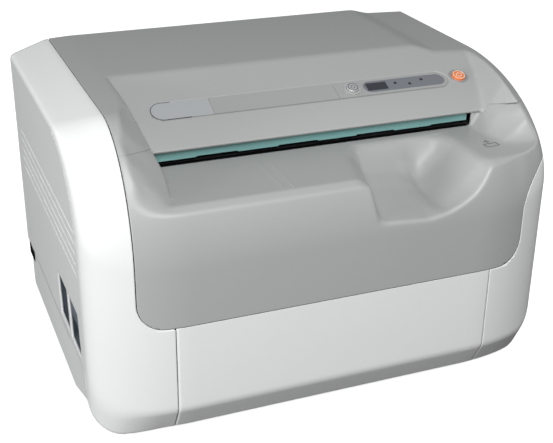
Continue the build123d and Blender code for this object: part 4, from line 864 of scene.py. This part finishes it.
class SCANNER_OT_front_apron(bpy.types.Operator):
    """Makes the grey front with the tray, the hand scoop and the lower flanks"""

    bl_idname = "scanner.front_apron"
    bl_label = "Front Apron"

    def execute(self, context):
        gap = half_seam(context)
        xs = stepped((LEFT_SEAM_X - 3, -170, 2), (-170, 30, 3), (30, 200, 1.8), (200, HALF_WIDTH + 2, 2))
        ys = stepped((FRONT_Y - 4, -160, 1.6), (-160, -78, 2))
        zs = stepped((APRON_LOW_Z - 3, 220, 3), (220, 300, 1.6), (300, TOP_Z + 2, 2))

        def keep(x, y, z):
            return np.minimum(apron_outline(x, y, z) - gap, -parting(x, y, z) - gap * PARTING_SHARE)

        def front_of_slot(x, y, z):
            return APRON_BACK_Y - y

        cover_piece("front_apron_shell", lower_form, (xs, ys, zs), [keep, front_of_slot],
                    "grey_cover", "front_apron")
        return {"FINISHED"}


class SCANNER_OT_lower_panel(bpy.types.Operator):
    """Makes the white panel under the apron, with its chin"""

    bl_idname = "scanner.lower_panel"
    bl_label = "Lower Panel"

    def execute(self, context):
        gap = half_seam(context)
        xs = stepped((-PANEL_HALF - 4, PANEL_HALF + 4, 5))
        ys = stepped((FRONT_Y - 4, -180, 1.6), (-180, FRONT_Y + CHIN_RUN + 4, 6))
        zs = stepped((FOOT_Z - 3, 60, 1.6), (60, APRON_LOW_Z + 4, 5))

        def keep(x, y, z):
            beside = np.minimum(PANEL_HALF - np.abs(x), APRON_LOW_Z - z) - gap
            return np.minimum(beside, FRONT_Y + CHIN_RUN - y)

        cover_piece("lower_panel_shell", body, (xs, ys, zs), [keep], "white_cover", "lower_front_panel")
        return {"FINISHED"}


class SCANNER_OT_corner_pads(bpy.types.Operator):
    """Makes the black ribbed pads at the lower rear corners"""

    bl_idname = "scanner.corner_pads"
    bl_label = "Corner Pads"

    def execute(self, context):
        out = stepped((BASE_SIDE - PAD_SINK * 3, HALF_WIDTH + 2, 0.8))
        ys = stepped((PAD_FRONT_Y - 3, REAR_Y + 3, 0.8))
        zs = stepped((PAD_LOW_Z - 3, PAD_HIGH_Z + 3, 0.8))
        for name, side in (("left", -1), ("right", 1)):
            xs = out if side > 0 else -out[::-1]
            points, triangles = zero_surface(pad_form, xs, ys, zs)
            piece = make_piece(name + "_corner_pad", points, triangles, [finish("black_plastic")])
            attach(piece, "housing")
        return {"FINISHED"}


def band_along(path, normals, half, height, closed=False):
    """A low strip along a path: at each point a flat-topped section of four corners across the path. A closed
    path joins its last section to its first; an open one gets a cap at each end."""
    if closed:
        ahead = np.roll(path, -1, axis=0) - np.roll(path, 1, axis=0)
    else:
        ahead = np.gradient(path, axis=0)
    ahead = ahead / np.linalg.norm(ahead, axis=1)[:, None]
    across = np.cross(ahead, normals)
    foot, top = across * half, across * half * LINE_TOP_SHARE
    rows = [path + foot - normals * LINE_SINK, path + top + normals * height,
            path - top + normals * height, path - foot - normals * LINE_SINK]
    points = np.stack(rows, axis=1).reshape(-1, 3)
    count = len(path)
    here = np.arange(count if closed else count - 1)[:, None] * 4
    there = (here + 4) % (count * 4)
    corner = np.arange(4)[None, :]
    after = (corner + 1) % 4
    faces = np.stack([here + corner, here + after, there + after, there + corner], axis=-1).reshape(-1, 4)
    if closed:
        return points, faces
    caps = np.array([[3, 2, 1, 0], np.array([0, 1, 2, 3]) + (count - 1) * 4])
    return points, np.concatenate([faces, caps])


def join_parts(parts):
    """Several sets of points and faces as one."""
    points, faces = zip(*parts)
    starts = np.cumsum([0] + [len(part) for part in points])
    return np.concatenate(points), np.concatenate([part + start for part, start in zip(faces, starts)])


def tray_path(x0, y0, x1, y1, steps):
    """Points over the tray from one place to another, settled on the apron's skin from above."""
    share = np.linspace(0, 1, steps)
    x, y = x0 + (x1 - x0) * share, y0 + (y1 - y0) * share
    low, high = np.full(steps, TRAY_Z + TRAY_SEARCH[0]), np.full(steps, TRAY_Z + TRAY_SEARCH[1])
    for _ in range(TRAY_HALVINGS):
        middle = (low + high) / 2
        under = lower_form(x, y, middle) < 0
        low, high = np.where(under, middle, low), np.where(under, high, middle)
    return np.stack([x, y, low], axis=1)


def tray_band(x0, y0, x1, y1, steps):
    """A low strip over the tray from one place to another."""
    path = tray_path(x0, y0, x1, y1, steps)
    up = np.broadcast_to(np.array([0.0, 0.0, 1.0]), path.shape)
    return band_along(path, up, LINE_HALF, LINE_HEIGHT)


def printed_piece(name, parts, look, rider):
    """One piece from several low strips, on the body that carries them."""
    points, faces = join_parts(parts)
    piece = make_piece(name, points, faces, [finish(look)])
    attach(piece, rider)


class SCANNER_OT_tray_lines(bpy.types.Operator):
    """Makes the fine raised guide lines and the plain insertion sign on the tray"""

    bl_idname = "scanner.tray_lines"
    bl_label = "Tray Guide Lines"

    def execute(self, context):
        guides = [tray_band(*line, 40) for line in TRAY_LINES]
        printed_piece("tray_guide_lines", guides, "line_pale", "housing")
        sign = [tray_band(*start, *end, 8) for line in INSERT_MARK for start, end in zip(line, line[1:])]
        printed_piece("insertion_sign", sign, "mark_dark", "housing")
        return {"FINISHED"}


def slope_place(across, up, out):
    """Points on the slope: along X, up the slope from the strip's centre line and out along its normal."""
    y = STRIP_Y + up * math.cos(SLOPE) - out * math.sin(SLOPE)
    z = STRIP_Z + up * math.sin(SLOPE) + out * math.cos(SLOPE)
    return np.stack(np.broadcast_arrays(across, y, z), axis=1)


def slope_band(across, up, out, half, closed=False):
    """A low strip whose path lies over the slope."""
    path = slope_place(across, up, out)
    normal = np.broadcast_to(np.array([0.0, -math.sin(SLOPE), math.cos(SLOPE)]), path.shape)
    return band_along(path, normal, half, LINE_HEIGHT, closed)


def circle(centre_x, radius, start=0.0, end=360.0, steps=64):
    """Places round part of a circle on the slope, counter-clockwise, in degrees from +X."""
    angle = np.radians(np.linspace(start, end, steps, endpoint=end - start < 360))
    return centre_x + np.cos(angle) * radius, np.sin(angle) * radius


class SCANNER_OT_slope_marks(bpy.types.Operator):
    """Makes the painted shade in the gap round the nameplate's left end, and the fine outlines and signs of
    the keys
    """

    bl_idname = "scanner.slope_marks"
    bl_label = "Slope Marks"

    def execute(self, context):
        self.nameplate()
        self.power_key()
        self.round_key()
        return {"FINISHED"}

    def nameplate(self):
        """Painted shade in the gap round the plate's left end: a dark line on the gap's edge, with a straight
        tail above and below.
        """
        half = STRIP_HEIGHT / 2
        centre, radius = STRIP_LEFT + half, half + STRIP_GAP
        x, up = circle(centre, radius, *NAMEPLATE_SHADE_ARC, 60)
        x = np.concatenate([[centre + NAMEPLATE_SHADE_TAILS[0]], x, [centre + NAMEPLATE_SHADE_TAILS[1]]])
        up = np.concatenate([[radius], up, [-radius]])
        # A dark line painted where shade falls in the gap between the plate and its recess
        line = slope_band(x, up, 0, NAMEPLATE_SHADE_HALF)
        printed_piece("nameplate_outline", [line], "mark_dark", "housing")

    def power_key(self):
        """Line round the key's ring, and the open circle with its bar on the key, which ride with it."""
        centre, radius = POWER_KEY
        outer = slope_band(*circle(centre, radius + POWER_OUTLINE_OUT), 0, POWER_OUTLINE_HALF, closed=True)
        printed_piece("power_outline", [outer], "mark_dark", "housing")
        top = KEY_TOP + SIGN_LIFT
        rim = slope_band(*circle(centre, radius - POWER_RIM_IN), top, POWER_RIM_HALF, closed=True)
        sign = slope_band(*circle(centre, POWER_SIGN_RADIUS, *POWER_SIGN_ARC, 48), top, POWER_SIGN_HALF)
        bar = slope_band(np.full(6, centre), np.linspace(*POWER_BAR, 6), top, POWER_SIGN_HALF)
        printed_piece("power_sign", [rim, sign, bar], "mark_pale", "power_key")

    def round_key(self):
        """Two rings on the round key, which ride with it."""
        centre, radius = ROUND_KEY
        top = KEY_TOP + SIGN_LIFT
        rim = slope_band(*circle(centre, radius - ROUND_RIM_IN), top, ROUND_RIM_HALF, closed=True)
        ring = slope_band(*circle(centre, ROUND_RING_RADIUS), top, ROUND_RING_HALF, closed=True)
        printed_piece("round_key_rings", [rim, ring], "mark_dark", "round_key")


class SCANNER_OT_finishes(bpy.types.Operator):
    """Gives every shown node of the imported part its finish"""

    bl_idname = "scanner.finishes"
    bl_label = "Finishes"

    def execute(self, context):
        for row in frame["record"]["subparts"]:
            node = frame["nodes"][row["node"]]
            node.data.materials.clear()
            node.data.materials.append(finish(OWN_FINISH.get(row["node"], row["material_slot"])))
        return {"FINISHED"}


CAMERA_PLACE = (-0.44991, -1.13894, 0.73157)
CAMERA_RIGHT = (0.930524, -0.366096, 0.009982)
CAMERA_UP = (0.149015, 0.403374, 0.90282)
SENSOR_WIDTH = 36
FLOOR_SIZE = 6.0
FLOOR_TONES = ((0.80, 0.80, 0.80, 1), (0.83, 0.83, 0.83, 1))
FLOOR_MOTTLE = 3.0
FLOOR_ROUGHNESS = 0.9
FLOOR_BOUNCE = (0.1, 0.1, 0.1, 1)
FLOOR_LIFT = 0.8
LAMP_DISTANCE = 2.6
# Each lamp: its size in metres, then its place in degrees right of the front and degrees up
LAMPS = {"key": (1.4, -14, 43), "left": (0.8, -66, 5), "right": (1.2, 85, 24), "rear": (1.2, -125, 28)}


class SCANNER_OT_studio(bpy.types.Operator):
    """Sets the floor, the lights and the camera"""

    bl_idname = "scanner.studio"
    bl_label = "Studio"

    def execute(self, context):
        settings = context.scene.scanner_studio
        self.floor()
        self.world(settings.ambient)
        for name, (size, turn, lift) in LAMPS.items():
            self.light(name + "_light", getattr(settings, name), size, math.radians(turn), math.radians(lift))
        self.camera(context, settings.lens)
        context.scene.view_settings.view_transform = "Standard"
        return {"FINISHED"}

    def floor(self):
        """A flat sheet under the feet."""
        half = FLOOR_SIZE / 2 / MM
        points = np.array([[-half, -half, 0], [half, -half, 0], [half, half, 0], [-half, half, 0]])
        floor = make_piece("studio_floor", points, np.array([[0, 1, 2, 3]]), [self.floor_finish()])

    def floor_finish(self):
        """Pale matt floor, which the camera sees lit up to white and which throws little light back up."""
        material = bpy.data.materials.new("floor_pale")
        material.use_nodes = True
        tree = material.node_tree
        shader = tree.nodes["Principled BSDF"]
        place = add_node(tree, "ShaderNodeTexCoord")
        mottle = add_node(tree, "ShaderNodeTexNoise", links={
            "Vector": place.outputs["Object"], "Scale": FLOOR_MOTTLE})
        tone = add_node(tree, "ShaderNodeMix", data_type="RGBA", links={"Factor": mottle.outputs["Fac"]})
        tone.inputs[6].default_value, tone.inputs[7].default_value = FLOOR_TONES
        tree.links.new(tone.outputs[2], shader.inputs["Base Color"])
        shader.inputs["Roughness"].default_value = FLOOR_ROUGHNESS
        rays = add_node(tree, "ShaderNodeLightPath")
        dim = add_node(tree, "ShaderNodeBsdfDiffuse", links={"Color": FLOOR_BOUNCE})
        lift = add_node(tree, "ShaderNodeEmission", links={
            "Color": (1, 1, 1, 1), "Strength": FLOOR_LIFT})
        both = add_node(tree, "ShaderNodeAddShader", links={0: shader.outputs[0], 1: lift.outputs[0]})
        mixed = add_node(tree, "ShaderNodeMixShader", links={
            0: rays.outputs["Is Camera Ray"], 1: dim.outputs[0], 2: both.outputs[0]})
        tree.links.new(mixed.outputs[0], tree.nodes["Material Output"].inputs["Surface"])
        return material

    def world(self, ambient):
        """White to the camera, a plain level of light to everything else."""
        world = bpy.data.worlds.new("studio_world")
        world.use_nodes = True
        tree = world.node_tree
        background = tree.nodes["Background"]
        background.inputs["Color"].default_value = (1, 1, 1, 1)
        rays = add_node(tree, "ShaderNodeLightPath")
        seen = add_node(tree, "ShaderNodeMath", operation="MAXIMUM", links={
            0: rays.outputs["Is Camera Ray"], 1: rays.outputs["Is Transmission Ray"]})
        strength = add_node(tree, "ShaderNodeMath", operation="MAXIMUM",
                            links={0: seen.outputs[0], 1: ambient})
        tree.links.new(strength.outputs[0], background.inputs["Strength"])
        bpy.context.scene.world = world

    def light(self, name, power, size, turn, lift):
        """A square lamp that faces the middle from an angle right of the front and an angle up."""
        data = bpy.data.lights.new(name, "AREA")
        data.energy = power
        data.size = size
        lamp = bpy.data.objects.new(name, data)
        bpy.context.scene.collection.objects.link(lamp)
        target = (PART_LOW + PART_HIGH) / 2
        away = Vector((math.sin(turn) * math.cos(lift), -math.cos(turn) * math.cos(lift), math.sin(lift)))
        lamp.location = target + away * LAMP_DISTANCE
        lamp.rotation_euler = (-away).to_track_quat("-Z", "Y").to_euler()

    def camera(self, context, lens):
        """The camera, from its place and the two directions that run right and up in its picture."""
        data = bpy.data.cameras.new("camera")
        data.lens = lens
        data.sensor_width = SENSOR_WIDTH
        camera = bpy.data.objects.new("camera", data)
        context.scene.collection.objects.link(camera)
        right, up = Vector(CAMERA_RIGHT).normalized(), Vector(CAMERA_UP).normalized()
        back = right.cross(up)
        turn = Matrix((right, up, back)).transposed().to_4x4()
        camera.matrix_world = Matrix.Translation(CAMERA_PLACE) @ turn
        context.scene.camera = camera


STEPS = ("side_covers", "top_cover", "front_apron", "lower_panel", "corner_pads", "tray_lines", "slope_marks",
         "finishes", "studio")


class SCANNER_PT_panel(bpy.types.Panel):
    """Lists the settings and the steps."""

    bl_label = "Cassette Scanner"
    bl_idname = "SCANNER_PT_panel"
    bl_space_type = "VIEW_3D"
    bl_region_type = "UI"
    bl_category = "Scanner"

    def draw(self, context):
        scene = context.scene
        for settings in (scene.scanner_covers, scene.scanner_colours, scene.scanner_studio):
            box = self.layout.box()
            for name in settings.bl_rna.properties.keys():
                if name not in ("rna_type", "name"):
                    box.prop(settings, name)
        for step in STEPS:
            self.layout.operator("scanner." + step)


CLASSES = (
    ScannerCovers, ScannerColours, ScannerStudio,
    SCANNER_OT_side_covers, SCANNER_OT_top_cover, SCANNER_OT_front_apron, SCANNER_OT_lower_panel,
    SCANNER_OT_corner_pads, SCANNER_OT_tray_lines, SCANNER_OT_slope_marks, SCANNER_OT_finishes,
    SCANNER_OT_studio, SCANNER_PT_panel,
)


def register():
    for cls in CLASSES:
        bpy.utils.register_class(cls)
    bpy.types.Scene.scanner_covers = PointerProperty(type=ScannerCovers)
    bpy.types.Scene.scanner_colours = PointerProperty(type=ScannerColours)
    bpy.types.Scene.scanner_studio = PointerProperty(type=ScannerStudio)


def unregister():
    del bpy.types.Scene.scanner_studio
    del bpy.types.Scene.scanner_colours
    del bpy.types.Scene.scanner_covers
    for cls in reversed(CLASSES):
        bpy.utils.unregister_class(cls)


def main():
    register()
    for step in STEPS:
        getattr(bpy.ops.scanner, step)()


if __name__ == "__main__":
    main()
